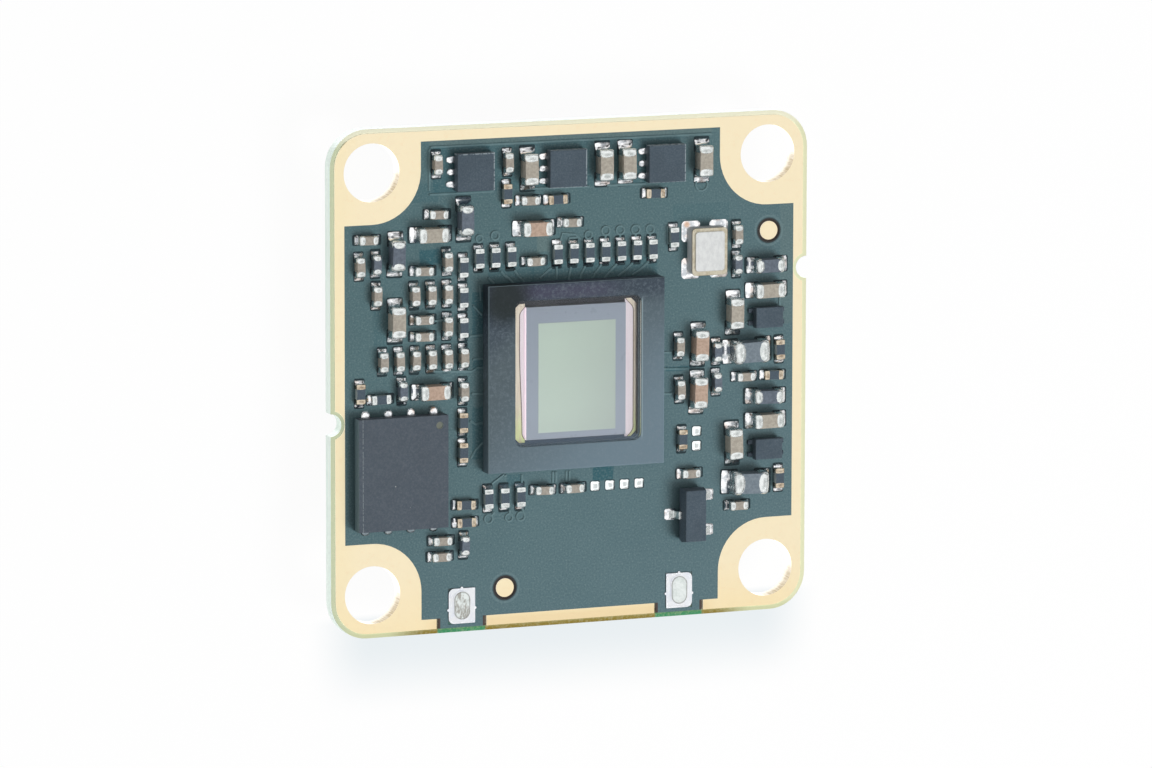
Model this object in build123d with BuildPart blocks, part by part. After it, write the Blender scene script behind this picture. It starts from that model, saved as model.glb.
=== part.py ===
from build123d import *
import os

os.makedirs("parts", exist_ok=True)

# Board-level camera module, in millimetres. X runs along the board, Y away from the edge that
# holds the data receptacle, and Z out of the sensor side. The origin is the middle of the four
# mounting holes, on the plane shared by the front lands and the front solder mask.

# Bare board
board_side = 27.0
laminate_thickness = 0.76
skin_thickness = 0.04
board_corner_radius = 2.0
hole_inset = 2.3
hole_radius = 1.55
plating_wall = 0.05
plating_clearance = 0.01
edge_setback = 0.24
border_width = 0.54
land_radius = 2.74
notch_radius = 0.6
notch_land_clearance = 0.18
fiducial_radius = 0.5
fiducial_mask_clearance = 0.12

front_face = 0.0
laminate_top = front_face - skin_thickness
laminate_bottom = laminate_top - laminate_thickness
rear_face = laminate_bottom - skin_thickness
edge = board_side / 2

# Places on the board are counted in steps of its layout grid, from the middle of the holes
layout_step = board_side / 270


def place(x_steps, y_steps):
    return (x_steps * layout_step, y_steps * layout_step)


hole_spacing = board_side - 2 * hole_inset
land_reach = hole_inset + land_radius
field_side = board_side - 2 * (edge_setback + border_width)
hole_centres = GridLocations(hole_spacing, hole_spacing, 2, 2).locations
corner_centres = GridLocations(board_side, board_side, 2, 2).locations
notch_centres = [place(-135, -20.3), place(135, 49.8)]
fiducial_centres = [place(113, 70.6), place(-37.5, -113)]

# Data receptacle on the rear, flush with the lower edge
receptacle_setback = 0.05
receptacle_depth = 5.6
receptacle_height = 2.4
receptacle_wall = 0.25
receptacle_tab_spacing = 12.4
receptacle_tab_length = 1.2
tab_edge_distance = 1.4
tab_depth_below_front = 0.08
side_bevel_height = 0.9
side_bevel_width = 0.6
valley_x = 1.2
valley_top_width = 0.7
valley_bottom_width = 1.5
valley_depth = 0.45
latch_window_width = 1.3
latch_window_length = 0.8
latch_window_spacing = 4.4
slot_width = 0.9
slot_length = 1.55
slot_fill_clearance = 0.02
joint_width = 1.5
joint_length = 1.9
joint_height = 0.08
joint_corner_chamfer = 0.2
rear_window_width = 1.0
rear_window_length = 1.7
joint_mask_clearance = 0.02
strip_gap_width = 2.82
strip_gap_mask_clearance = 0.1

receptacle_front_y = -edge + receptacle_setback
receptacle_rear_y = receptacle_front_y + receptacle_depth
receptacle_width = receptacle_tab_spacing + receptacle_wall
tab_y = -edge + tab_edge_distance
tab_centres = [(-receptacle_tab_spacing / 2, tab_y), (receptacle_tab_spacing / 2, tab_y)]


def write_piece(piece, node_name):
    piece.part.label = node_name
    export_step(piece.part, f"parts/{node_name}.step")


# Bare laminate, with the four drilled holes, the two half-round notches left by the panel's
# breaking tabs, and the slots for the receptacle's tabs
with BuildPart() as circuit_board:
    with BuildSketch(Plane.XY.offset(laminate_bottom)):
        RectangleRounded(board_side, board_side, board_corner_radius)
        with Locations(*hole_centres):
            Circle(hole_radius + plating_wall + plating_clearance, mode=Mode.SUBTRACT)
        with Locations(*notch_centres):
            Circle(notch_radius, mode=Mode.SUBTRACT)
        with Locations(*tab_centres):
            SlotOverall(slot_length, slot_width, rotation=90, mode=Mode.SUBTRACT)
    extrude(amount=laminate_thickness)
write_piece(circuit_board, "circuit_board")

# Field inside the ground border: the border's four corner lands are rounded towards the middle
with BuildSketch() as mask_field:
    Rectangle(field_side, field_side)
    with Locations(*corner_centres):
        RectangleRounded(2 * land_reach, 2 * land_reach, land_radius, mode=Mode.SUBTRACT)
    with Locations(*notch_centres):
        Circle(notch_radius + notch_land_clearance, mode=Mode.SUBTRACT)

# Ground border, open beside each tab of the receptacle. It is the same on both sides, and the
# plating of the mounting holes joins the two.
with BuildSketch() as border_outline:
    RectangleRounded(
        board_side - 2 * edge_setback, board_side - 2 * edge_setback, board_corner_radius - edge_setback
    )
    add(mask_field.sketch, mode=Mode.SUBTRACT)
    with Locations(*notch_centres):
        Circle(notch_radius + notch_land_clearance, mode=Mode.SUBTRACT)
    with Locations(*[(x, -edge) for x, y in tab_centres]):
        Rectangle(strip_gap_width, 2 * (edge_setback + border_width), mode=Mode.SUBTRACT)

with BuildPart() as ground_plating:
    for side_bottom in (laminate_top, rear_face):
        with BuildSketch(Plane.XY.offset(side_bottom)):
            add(border_outline.sketch)
        extrude(amount=skin_thickness)
    with BuildSketch(Plane.XY.offset(laminate_bottom)):
        with Locations(*hole_centres):
            Circle(hole_radius + plating_wall)
    extrude(amount=laminate_thickness)
    with BuildSketch(Plane.XY.offset(rear_face)):
        with Locations(*hole_centres):
            Circle(hole_radius)
    extrude(amount=front_face - rear_face, mode=Mode.SUBTRACT)
write_piece(ground_plating, "ground_plating")

# Solder mask, which fills the field and the two gaps in the lower border
with BuildSketch() as mask_outline:
    add(mask_field.sketch)
    with Locations(*[(x, -edge + edge_setback + border_width / 2) for x, y in tab_centres]):
        Rectangle(strip_gap_width - 2 * strip_gap_mask_clearance, border_width)

with BuildPart() as solder_mask_front:
    with BuildSketch(Plane.XY.offset(laminate_top)):
        add(mask_outline.sketch)
        with Locations(*fiducial_centres):
            Circle(fiducial_radius + fiducial_mask_clearance, mode=Mode.SUBTRACT)
        with Locations(*tab_centres):
            Rectangle(
                joint_width + 2 * joint_mask_clearance,
                joint_length + 2 * joint_mask_clearance,
                mode=Mode.SUBTRACT,
            )
    extrude(amount=skin_thickness)
write_piece(solder_mask_front, "solder_mask_front")

with BuildPart() as solder_mask_rear:
    with BuildSketch(Plane.XY.offset(rear_face)):
        add(mask_outline.sketch)
        with Locations(*tab_centres):
            Rectangle(rear_window_width, rear_window_length, mode=Mode.SUBTRACT)
    extrude(amount=skin_thickness)
write_piece(solder_mask_rear, "solder_mask_rear")

with BuildPart() as fiducial_marks:
    with BuildSketch(Plane.XY.offset(laminate_top)):
        with Locations(*fiducial_centres):
            Circle(fiducial_radius)
    extrude(amount=skin_thickness)
write_piece(fiducial_marks, "fiducial_marks")

# Image sensor: a square package with a stepped window, a chip, its bonding strips and a glass lid
package_side = 10.0
package_height = 0.84
package_edge_chamfer = 0.05
window_width = 7.14
window_length = 7.78
window_corner_radius = 0.4
window_offset_x = 0.1
window_offset_y = 0.24
glass_ledge = 0.08
glass_thickness = 0.2
glass_clearance = 0.02
glass_recess = 0.04
cavity_floor = 0.28
chip_thickness = 0.22
chip_left_gap = 0.65
chip_right_gap = 0.69
chip_lower_gap = 0.2
chip_upper_gap = 0.34
pixel_array_thickness = 0.012
pixel_array_left_margin = 0.68
pixel_array_right_margin = 0.58
pixel_array_lower_margin = 0.34
pixel_array_upper_margin = 0.88
bond_strip_gap = 0.02
bond_strip_lower_gap = 0.05
bond_strip_upper_gap = 0.15
bond_strip_corner_cut = 0.3
bond_strip_thickness = 0.06

glass_seat = package_height - glass_recess - glass_thickness
cavity_width = window_width - 2 * glass_ledge
cavity_length = window_length - 2 * glass_ledge
cavity_left = window_offset_x - cavity_width / 2
cavity_right = window_offset_x + cavity_width / 2
cavity_lower = window_offset_y - cavity_length / 2
cavity_upper = window_offset_y + cavity_length / 2
chip_left = cavity_left + chip_left_gap
chip_right = cavity_right - chip_right_gap
chip_lower = cavity_lower + chip_lower_gap
chip_upper = cavity_upper - chip_upper_gap


def rectangle_between(left, right, lower, upper):
    with Locations(((left + right) / 2, (lower + upper) / 2)):
        Rectangle(right - left, upper - lower)



with BuildPart() as sensor_package:
    with BuildSketch(Plane.XY.offset(front_face)):
        Rectangle(package_side, package_side)
    extrude(amount=package_height)
    chamfer(sensor_package.faces().sort_by(Axis.Z)[-1].edges(), length=package_edge_chamfer)
    with BuildSketch(Plane.XY.offset(front_face + glass_seat)):
        with Locations((window_offset_x, window_offset_y)):
            RectangleRounded(window_width, window_length, window_corner_radius)
    extrude(amount=package_height - glass_seat, mode=Mode.SUBTRACT)
    with BuildSketch(Plane.XY.offset(front_face + cavity_floor)):
        with Locations((window_offset_x, window_offset_y)):
            RectangleRounded(cavity_width, cavity_length, window_corner_radius - glass_ledge)
    extrude(amount=glass_seat - cavity_floor, mode=Mode.SUBTRACT)
write_piece(sensor_package, "sensor_package")

with BuildPart() as sensor_chip:
    with BuildSketch(Plane.XY.offset(front_face + cavity_floor)):
        rectangle_between(chip_left, chip_right, chip_lower, chip_upper)
    extrude(amount=chip_thickness)
write_piece(sensor_chip, "sensor_chip")

with BuildPart() as sensor_pixel_array:
    with BuildSketch(Plane.XY.offset(front_face + cavity_floor + chip_thickness)):
        rectangle_between(
            chip_left + pixel_array_left_margin,
            chip_right - pixel_array_right_margin,
            chip_lower + pixel_array_lower_margin,
            chip_upper - pixel_array_upper_margin,
        )
    extrude(amount=pixel_array_thickness)
write_piece(sensor_pixel_array, "sensor_pixel_array")

# Each bonding strip fills the floor between the chip and the cavity's wall
strip_lower = cavity_lower + bond_strip_lower_gap
strip_upper = cavity_upper - bond_strip_upper_gap
with BuildPart() as sensor_bond_strips:
    with BuildSketch(Plane.XY.offset(front_face + cavity_floor)) as strip_outline:
        rectangle_between(
            cavity_left + bond_strip_gap, chip_left - bond_strip_gap, strip_lower, strip_upper
        )
        rectangle_between(
            chip_right + bond_strip_gap, cavity_right - bond_strip_gap, strip_lower, strip_upper
        )
        strip_corners = strip_outline.vertices().group_by(Axis.X)
        chamfer(strip_corners[0] + strip_corners[-1], length=bond_strip_corner_cut)
    extrude(amount=bond_strip_thickness)
write_piece(sensor_bond_strips, "sensor_bond_strips")

with BuildPart() as sensor_cover_glass:
    with BuildSketch(Plane.XY.offset(front_face + glass_seat)):
        with Locations((window_offset_x, window_offset_y)):
            RectangleRounded(
                window_width - 2 * glass_clearance,
                window_length - 2 * glass_clearance,
                window_corner_radius - glass_clearance,
            )
    extrude(amount=glass_thickness)
write_piece(sensor_cover_glass, "sensor_cover_glass")

# Chip parts are placed in layout steps; a turn of 90 degrees stands one along Y


def row(first_x, y, count, pitch, turn):
    return [(first_x + index * pitch, y, turn) for index in range(count)]


def column(x, first_y, count, pitch, turn):
    return [(x, first_y - index * pitch, turn) for index in range(count)]


# Two-ended chip parts: length, width, height and length of each end
small_chip_length = 1.0
small_chip_width = 0.5
small_capacitor_height = 0.5
resistor_height = 0.35
medium_chip_length = 1.6
medium_chip_width = 0.8
medium_chip_height = 0.8
large_chip_length = 2.0
large_chip_width = 1.25
large_chip_height = 1.05
small_end_length = 0.27
resistor_end_length = 0.22
medium_end_length = 0.36
large_end_length = 0.5
body_inset = 0.02
inductor_body_inset = 0.06

small_capacitor_places = (
    # beside the first and second regulator, and above the sensor
    [(-76.2, 114.9, 90), (-36.5, 114.2, 90), (-24.5, 93.5, 0), (-0.9, 80.8, 0), (-21.4, 61.1, 0)]
    # left of the sensor
    + [(-75.8, 88.6, 0), (-114.8, 76.9, 0), (-119.4, 63, 90), (-84, 59.1, 0), (-110, 47.2, 90)]
    + [(-88.8, 46.2, 90), (-79.7, 46.2, 90), (-84, 33.2, 0), (-84, 24.4, 0)]
    + column(-70.5, 63.3, 3, 17.1, 90)
    + row(-106.5, 12, 6, 9, 90)
    + [(-61.5, -6.1, 90)]
    # below the sensor
    + row(-16.3, -61.5, 2, 17.2, 0)
    + [(-73.8, -85.1, 0)]
    # right of the sensor
    + [(94.2, 69.6, 90), (60.9, 11.1, 90), (61.5, -12.2, 90), (99, -7.2, 0)]
    + [(67.6, -57.8, 0), (95.2, -76.7, 0)]
)
pale_capacitor_places = [(-74.4, -93.6, 0)]
filter_capacitor_places = [(-21.4, 78.7, 0), (-78.7, -5.2, 0), (72.2, 11.4, 90), (71.6, -14, 90)]
large_capacitor_places = (
    [(-25.1, 110.4, 90), (17.3, 110.8, 90), (30.3, 110.8, 90), (74, 110.4, 90)]
    + [(-79.7, 78.2, 0), (-99.4, 33.2, 90)]
    + [(111.5, 39, 0), (92.3, 27.6, 90), (111.3, -31.4, 0), (92.1, -42.9, 90)]
)
resistor_places = (
    column(-61.5, 59.9, 3, 16, 90)
    + row(-52.6, 64.2, 3, 9, 90)
    + row(-8.4, 64.2, 7, 9, 90)
    + row(-47.5, -64.3, 3, 9.1, 90)
    + [(57.8, 69.9, 90), (-107.7, -7.8, 0)]
)
terminating_resistor_places = (
    [(-36.9, 97.6, 90), (-8.6, 93.3, 0), (46.8, 93.9, 0), (-119.2, -4.2, 90)]
    + column(-61.7, -22.7, 2, 16, 90)
    + [(-60.4, -66.8, 0), (-60.1, -76.2, 0), (119.1, 6.3, 90), (115.4, -7.3, 0)]
    + [(63.1, -39.1, 90), (119.1, -63.4, 90)]
)
small_bead_places = [
    (-110.2, 63.9, 90),
    (-95.7, -4.1, 90),
    (-61.1, -88.4, 90),
    (94.1, 53.6, 90),
    (82.6, 7, 90),
    (82.6, -9.4, 90),
]
bead_places = [(-61, 85.2, 90), (-99.3, 68.4, 90), (111.5, 52.4, 0), (111.1, -18.4, 0)]
inductor_places = [(100.3, 6.8, 0), (100.3, -64.2, 0)]


def chip_middles(places, lift):
    return [Location((*place(x, y), lift), (0, 0, turn)) for x, y, turn in places]


def chip_ends(places, length):
    ends = []
    for x, y, turn in places:
        for side in (0, 180):
            ends.append(Location((*place(x, y), 0), (0, 0, turn + side)) * Location((length / 2, 0, 0)))
    return ends


def write_chips(names, places, length, width, height, end_length, inset, side=Plane.XY):
    with BuildPart(side) as chip_bodies:
        with Locations(*chip_middles(places, inset)):
            Box(
                length - 2 * end_length,
                width - 2 * inset,
                height - 2 * inset,
                align=(Align.CENTER, Align.CENTER, Align.MIN),
            )
    write_piece(chip_bodies, names[0])
    with BuildPart(side) as chip_end_caps:
        with Locations(*chip_ends(places, length)):
            Box(end_length, width, height, align=(Align.MAX, Align.CENTER, Align.MIN))
    write_piece(chip_end_caps, names[1])


write_chips(
    ("small_capacitors", "small_capacitor_ends"),
    small_capacitor_places + pale_capacitor_places,
    small_chip_length, small_chip_width, small_capacitor_height, small_end_length, body_inset,
)
write_chips(
    ("filter_capacitors", "filter_capacitor_ends"),
    filter_capacitor_places,
    medium_chip_length, medium_chip_width, medium_chip_height, medium_end_length, body_inset,
)
write_chips(
    ("large_capacitors", "large_capacitor_ends"),
    large_capacitor_places,
    medium_chip_length, medium_chip_width, medium_chip_height, medium_end_length, body_inset,
)
write_chips(
    ("resistors", "resistor_ends"),
    resistor_places,
    small_chip_length, small_chip_width, resistor_height, resistor_end_length, body_inset,
)
write_chips(
    ("terminating_resistors", "terminating_resistor_ends"),
    terminating_resistor_places,
    small_chip_length, small_chip_width, resistor_height, resistor_end_length, body_inset,
)
write_chips(
    ("small_ferrite_beads", "small_ferrite_bead_ends"),
    small_bead_places,
    small_chip_length, small_chip_width, small_capacitor_height, small_end_length, body_inset,
)
write_chips(
    ("ferrite_beads", "ferrite_bead_ends"),
    bead_places,
    medium_chip_length, medium_chip_width, medium_chip_height, medium_end_length, body_inset,
)
write_chips(
    ("power_inductors", "power_inductor_ends"),
    inductor_places,
    large_chip_length, large_chip_width, large_chip_height, large_end_length, inductor_body_inset,
)

# Leadless packages stand on flat terminals that reach past the body
terminal_thickness = 0.05

flash_width = 5.0
flash_length = 6.0
flash_height = 0.75
flash_x, flash_y = place(-97.1, -47)
flash_terminal_pitch = 1.27
flash_terminal_width = 0.42
flash_terminal_length = 0.6
flash_terminal_overhang = 0.12
flash_mark_radius = 0.17
flash_mark_sides = 12
flash_mark_depth = 0.03
flash_mark_inset_x = 0.49
flash_mark_inset_y = 0.53

with BuildPart() as flash_memory:
    with Locations((flash_x, flash_y, front_face + terminal_thickness)):
        Box(flash_width, flash_length, flash_height - terminal_thickness,
            align=(Align.CENTER, Align.CENTER, Align.MIN))
    with BuildSketch(Plane.XY.offset(front_face + flash_height)):
        with Locations((flash_x + flash_width / 2 - flash_mark_inset_x,
                        flash_y + flash_length / 2 - flash_mark_inset_y)):
            RegularPolygon(flash_mark_radius, flash_mark_sides)
    extrude(amount=-flash_mark_depth, mode=Mode.SUBTRACT)
write_piece(flash_memory, "flash_memory")

flash_terminal_y = flash_length / 2 + flash_terminal_overhang - flash_terminal_length / 2
flash_terminal_places = [
    (flash_x + (index - 1.5) * flash_terminal_pitch, flash_y + side * flash_terminal_y)
    for side in (-1, 1)
    for index in range(4)
]
with BuildPart() as flash_memory_terminals:
    with BuildSketch(Plane.XY.offset(front_face)):
        with Locations(*flash_terminal_places):
            Rectangle(flash_terminal_width, flash_terminal_length)
    extrude(amount=terminal_thickness)
write_piece(flash_memory_terminals, "flash_memory_terminals")

regulator_width = 2.1
regulator_length = 2.0
regulator_height = 0.55
regulator_edge_chamfer = 0.03
regulator_terminal_pitch = 0.65
regulator_terminal_width = 0.32
regulator_terminal_length = 0.6
regulator_terminal_overhang = 0.12
regulator_places = [place(-55.7, 110.4), place(-3.7, 109.8), place(52.5, 109.9)]

with BuildPart() as voltage_regulators:
    with BuildSketch(Plane.XY.offset(front_face + terminal_thickness)):
        with Locations(*regulator_places):
            Rectangle(regulator_width, regulator_length)
    extrude(amount=regulator_height - terminal_thickness)
    chamfer(voltage_regulators.faces().group_by(Axis.Z)[-1].edges(), length=regulator_edge_chamfer)
write_piece(voltage_regulators, "voltage_regulators")

regulator_terminal_x = regulator_width / 2 + regulator_terminal_overhang - regulator_terminal_length / 2
regulator_terminal_places = [
    (x + side * regulator_terminal_x, y + index * regulator_terminal_pitch)
    for x, y in regulator_places
    for side in (-1, 1)
    for index in (-1, 0, 1)
]
with BuildPart() as regulator_terminals:
    with BuildSketch(Plane.XY.offset(front_face)):
        with Locations(*regulator_terminal_places):
            Rectangle(regulator_terminal_length, regulator_terminal_width)
    extrude(amount=terminal_thickness)
write_piece(regulator_terminals, "regulator_terminals")

array_width = 1.55
array_length = 1.1
array_height = 0.58
array_lead_width = 0.24
array_lead_length = 0.5
array_lead_overhang = 0.26
array_lead_offset = 0.33
array_lead_thickness = 0.12
array_places = [place(111.5, 24.5), place(111.5, -46.6)]

with BuildPart() as protection_arrays:
    with BuildSketch(Plane.XY.offset(front_face + array_lead_thickness)):
        with Locations(*array_places):
            Rectangle(array_width, array_length)
    extrude(amount=array_height - array_lead_thickness)
    chamfer(protection_arrays.faces().group_by(Axis.Z)[-1].edges(), length=regulator_edge_chamfer)
write_piece(protection_arrays, "protection_arrays")

array_lead_x = array_width / 2 + array_lead_overhang - array_lead_length / 2
array_lead_places = [
    (x + side_x * array_lead_x, y + side_y * array_lead_offset)
    for x, y in array_places
    for side_x in (-1, 1)
    for side_y in (-1, 1)
]
with BuildPart() as protection_array_leads:
    with BuildSketch(Plane.XY.offset(front_face)):
        with Locations(*array_lead_places):
            Rectangle(array_lead_length, array_lead_width)
    extrude(amount=array_lead_thickness)
write_piece(protection_array_leads, "protection_array_leads")

# Clock oscillator: ceramic base with cut corners, gold seal ring and metal lid
oscillator_width = 2.0
oscillator_length = 2.5
oscillator_base_height = 0.55
package_corner_cut = 0.2
seal_ring_inset = 0.04
seal_ring_height = 0.1
oscillator_lid_width = 1.6
oscillator_lid_length = 2.05
oscillator_lid_height = 0.1
lid_edge_chamfer = 0.04
oscillator_x, oscillator_y = place(76, 62.4)

with BuildPart() as oscillator_base:
    with BuildSketch(Plane.XY.offset(front_face)):
        with Locations((oscillator_x, oscillator_y)):
            Rectangle(oscillator_width, oscillator_length)
            with GridLocations(oscillator_width, oscillator_length, 2, 2):
                Rectangle(package_corner_cut, package_corner_cut, rotation=45, mode=Mode.SUBTRACT)
    extrude(amount=oscillator_base_height)
write_piece(oscillator_base, "oscillator_base")

with BuildPart() as oscillator_seal_ring:
    with BuildSketch(Plane.XY.offset(front_face + oscillator_base_height)):
        with Locations((oscillator_x, oscillator_y)):
            Rectangle(oscillator_width - 2 * seal_ring_inset, oscillator_length - 2 * seal_ring_inset)
            with GridLocations(oscillator_width, oscillator_length, 2, 2):
                Rectangle(
                    package_corner_cut + 2 * seal_ring_inset,
                    package_corner_cut + 2 * seal_ring_inset,
                    rotation=45,
                    mode=Mode.SUBTRACT,
                )
    extrude(amount=seal_ring_height)
write_piece(oscillator_seal_ring, "oscillator_seal_ring")

with BuildPart() as oscillator_lid:
    with BuildSketch(Plane.XY.offset(front_face + oscillator_base_height + seal_ring_height)):
        with Locations((oscillator_x, oscillator_y)):
            Rectangle(oscillator_lid_width, oscillator_lid_length)
    extrude(amount=oscillator_lid_height)
    chamfer(oscillator_lid.faces().sort_by(Axis.Z)[-1].edges(), length=lid_edge_chamfer)
write_piece(oscillator_lid, "oscillator_lid")

# Power transistor: a drafted body and three bent leads
transistor_x, transistor_y = place(67.6, -79.5)
transistor_width = 1.3
transistor_length = 2.9
transistor_height = 1.05
transistor_stand_off = 0.08
transistor_parting_height = 0.55
transistor_draft = 8
lead_span = 2.4
lead_width = 0.42
lead_thickness = 0.12
lead_foot_length = 0.35
lead_pitch = 1.9
lead_slope_run = 0.1

with BuildPart() as power_transistor:
    with BuildSketch(Plane.XY.offset(front_face + transistor_parting_height)):
        with Locations((transistor_x, transistor_y)):
            Rectangle(transistor_width, transistor_length)
    extrude(amount=transistor_height - transistor_parting_height, taper=transistor_draft)
    with BuildSketch(Plane((0, 0, front_face + transistor_parting_height), x_dir=(1, 0, 0),
                           z_dir=(0, 0, -1))):
        with Locations((transistor_x, -transistor_y)):
            Rectangle(transistor_width, transistor_length)
    extrude(amount=transistor_parting_height - transistor_stand_off, taper=transistor_draft)
write_piece(power_transistor, "power_transistor")

lead_top = transistor_parting_height + lead_thickness / 2
foot_tip = lead_span / 2
foot_heel = foot_tip - lead_foot_length
leg_top = foot_heel - lead_slope_run
with BuildSketch(Plane.XZ) as lead_profile:
    with BuildLine():
        Polyline(
            (transistor_width / 2, lead_top - lead_thickness),
            (leg_top - lead_thickness / 2, lead_top - lead_thickness),
            (foot_heel - lead_thickness / 2, 0),
            (foot_tip, 0),
            (foot_tip, lead_thickness),
            (foot_heel + lead_thickness / 2, lead_thickness),
            (leg_top + lead_thickness / 2, lead_top),
            (transistor_width / 2, lead_top),
            close=True,
        )
    make_face()

with BuildPart() as bent_lead:
    extrude(lead_profile.sketch, amount=lead_width / 2, both=True)

transistor_lead_places = [
    Location((transistor_x, transistor_y, front_face), (0, 0, 180)),
    Location((transistor_x, transistor_y + lead_pitch / 2, front_face)),
    Location((transistor_x, transistor_y - lead_pitch / 2, front_face)),
]
with BuildPart() as transistor_leads:
    with Locations(*transistor_lead_places):
        add(bent_lead.part)
write_piece(transistor_leads, "transistor_leads")

# Unused solder-covered pads
spare_pad_side = 0.5
spare_pad_height = 0.07
spare_pad_chamfer = 0.04
spare_pad_places = [place(x, y) for x, y, turn in row(13.7, -61.5, 4, 8.4, 0) + column(71.9, -35.4, 2, 7.9, 0)]
with BuildPart() as spare_pads:
    with BuildSketch(Plane.XY.offset(front_face)):
        with Locations(*spare_pad_places):
            Rectangle(spare_pad_side, spare_pad_side)
    extrude(amount=spare_pad_height)
    chamfer(spare_pads.faces().group_by(Axis.Z)[-1].edges(), length=spare_pad_chamfer)
write_piece(spare_pads, "spare_pads")


# Solder rises in a wedge against each end
def solder_wedge(reach, height, width):
    with BuildPart() as wedge:
        with BuildSketch(Plane.XZ):
            with BuildLine():
                Polyline((0, 0), (reach, 0), (0, height), close=True)
            make_face()
        extrude(amount=width / 2, both=True)
    return wedge.part


small_wedge_reach = 0.21
medium_wedge_reach = 0.28
wedge_rise = 0.6
small_wedge = solder_wedge(small_wedge_reach, wedge_rise * small_capacitor_height, small_chip_width)
resistor_wedge = solder_wedge(small_wedge_reach, wedge_rise * resistor_height, small_chip_width)
medium_wedge = solder_wedge(medium_wedge_reach, wedge_rise * medium_chip_height, medium_chip_width)
large_wedge = solder_wedge(medium_wedge_reach, wedge_rise * large_chip_height, large_chip_width)

with BuildPart() as front_solder_fillets:
    with Locations(*chip_ends(small_capacitor_places + pale_capacitor_places + small_bead_places,
                              small_chip_length)):
        add(small_wedge)
    with Locations(*chip_ends(resistor_places + terminating_resistor_places, small_chip_length)):
        add(resistor_wedge)
    with Locations(*chip_ends(filter_capacitor_places + large_capacitor_places + bead_places,
                              medium_chip_length)):
        add(medium_wedge)
    with Locations(*chip_ends(inductor_places, large_chip_length)):
        add(large_wedge)
write_piece(front_solder_fillets, "front_solder_fillets")

# Rear side, seen from behind: the plane's X is the board's X, its Y is turned over and its
# Z points away from the board
rear_side = Plane((0, 0, rear_face), x_dir=(1, 0, 0), z_dir=(0, 0, -1))

controller_side = 10.0
controller_height = 1.1
controller_x, controller_y = place(-56, 4)
ball_height = 0.28
ball_radius = 0.25
ball_pitch = 1.0
ball_rows = 8
ball_sides = 6

with BuildPart(rear_side) as interface_controller:
    with Locations((controller_x, controller_y, ball_height)):
        Box(controller_side, controller_side, controller_height - ball_height,
            align=(Align.CENTER, Align.CENTER, Align.MIN))
write_piece(interface_controller, "interface_controller")

# Solder balls of the outermost row, the one that shows from the side
ball_reach = (ball_rows - 1) / 2
ball_places = [
    (controller_x + (across - ball_reach) * ball_pitch, controller_y + (along - ball_reach) * ball_pitch)
    for across in range(ball_rows)
    for along in range(ball_rows)
    if across in (0, ball_rows - 1) or along in (0, ball_rows - 1)
]
with BuildPart(rear_side) as controller_balls:
    with BuildSketch(rear_side):
        with Locations(*ball_places):
            RegularPolygon(ball_radius, ball_sides)
    extrude(amount=ball_height)
write_piece(controller_balls, "controller_balls")

processor_side = 9.0
processor_height = 0.9
processor_x, processor_y = place(59, -6)
processor_terminal_count = 11
processor_terminal_pitch = 0.65
processor_terminal_width = 0.3
processor_terminal_length = 0.45
processor_terminal_overhang = 0.06

with BuildPart(rear_side) as image_processor:
    with Locations((processor_x, processor_y, terminal_thickness)):
        Box(processor_side, processor_side, processor_height - terminal_thickness,
            align=(Align.CENTER, Align.CENTER, Align.MIN))
write_piece(image_processor, "image_processor")

processor_terminal_reach = processor_side / 2 + processor_terminal_overhang - processor_terminal_length / 2
processor_terminal_places = [
    Location((processor_x, processor_y, 0), (0, 0, turn))
    * Location((processor_terminal_reach,
                (index - (processor_terminal_count - 1) / 2) * processor_terminal_pitch, 0))
    for turn in (0, 90, 180, 270)
    for index in range(processor_terminal_count)
]
with BuildPart(rear_side) as processor_terminals:
    with Locations(*processor_terminal_places):
        Box(processor_terminal_length, processor_terminal_width, terminal_thickness,
            align=(Align.CENTER, Align.CENTER, Align.MIN))
write_piece(processor_terminals, "processor_terminals")

crystal_width = 3.2
crystal_length = 2.5
crystal_base_height = 0.35
crystal_lid_height = 0.15
crystal_lid_inset = 0.2
crystal_x, crystal_y = place(-70, -79)

with BuildPart(rear_side) as crystal_base:
    with BuildSketch(rear_side):
        with Locations((crystal_x, crystal_y)):
            Rectangle(crystal_width, crystal_length)
            with GridLocations(crystal_width, crystal_length, 2, 2):
                Rectangle(package_corner_cut, package_corner_cut, rotation=45, mode=Mode.SUBTRACT)
    extrude(amount=crystal_base_height)
write_piece(crystal_base, "crystal_base")

with BuildPart(rear_side) as crystal_lid:
    with BuildSketch(rear_side.offset(crystal_base_height)):
        with Locations((crystal_x, crystal_y)):
            Rectangle(crystal_width - 2 * crystal_lid_inset, crystal_length - 2 * crystal_lid_inset)
    extrude(amount=crystal_lid_height)
write_piece(crystal_lid, "crystal_lid")

rear_capacitor_places = (
    row(-36, -72, 6, 11, 90)
    + row(-36, -90, 4, 11, 90)
    + column(116, 34, 4, 18, 90)
    + [(-117, 32, 90), (-117, -16, 90)]
)
rear_resistor_places = row(42, -76, 5, 10, 90) + [(-117, 12, 90), (0, 59, 0), (17, 59, 0)]
write_chips(
    ("rear_capacitors", "rear_capacitor_ends"),
    rear_capacitor_places,
    small_chip_length, small_chip_width, small_capacitor_height, small_end_length, body_inset, rear_side,
)
write_chips(
    ("rear_resistors", "rear_resistor_ends"),
    rear_resistor_places,
    small_chip_length, small_chip_width, resistor_height, resistor_end_length, body_inset, rear_side,
)
with BuildPart(rear_side) as rear_solder_fillets:
    with Locations(*chip_ends(rear_capacitor_places, small_chip_length)):
        add(small_wedge)
    with Locations(*chip_ends(rear_resistor_places, small_chip_length)):
        add(resistor_wedge)
write_piece(rear_solder_fillets, "rear_solder_fillets")

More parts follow.
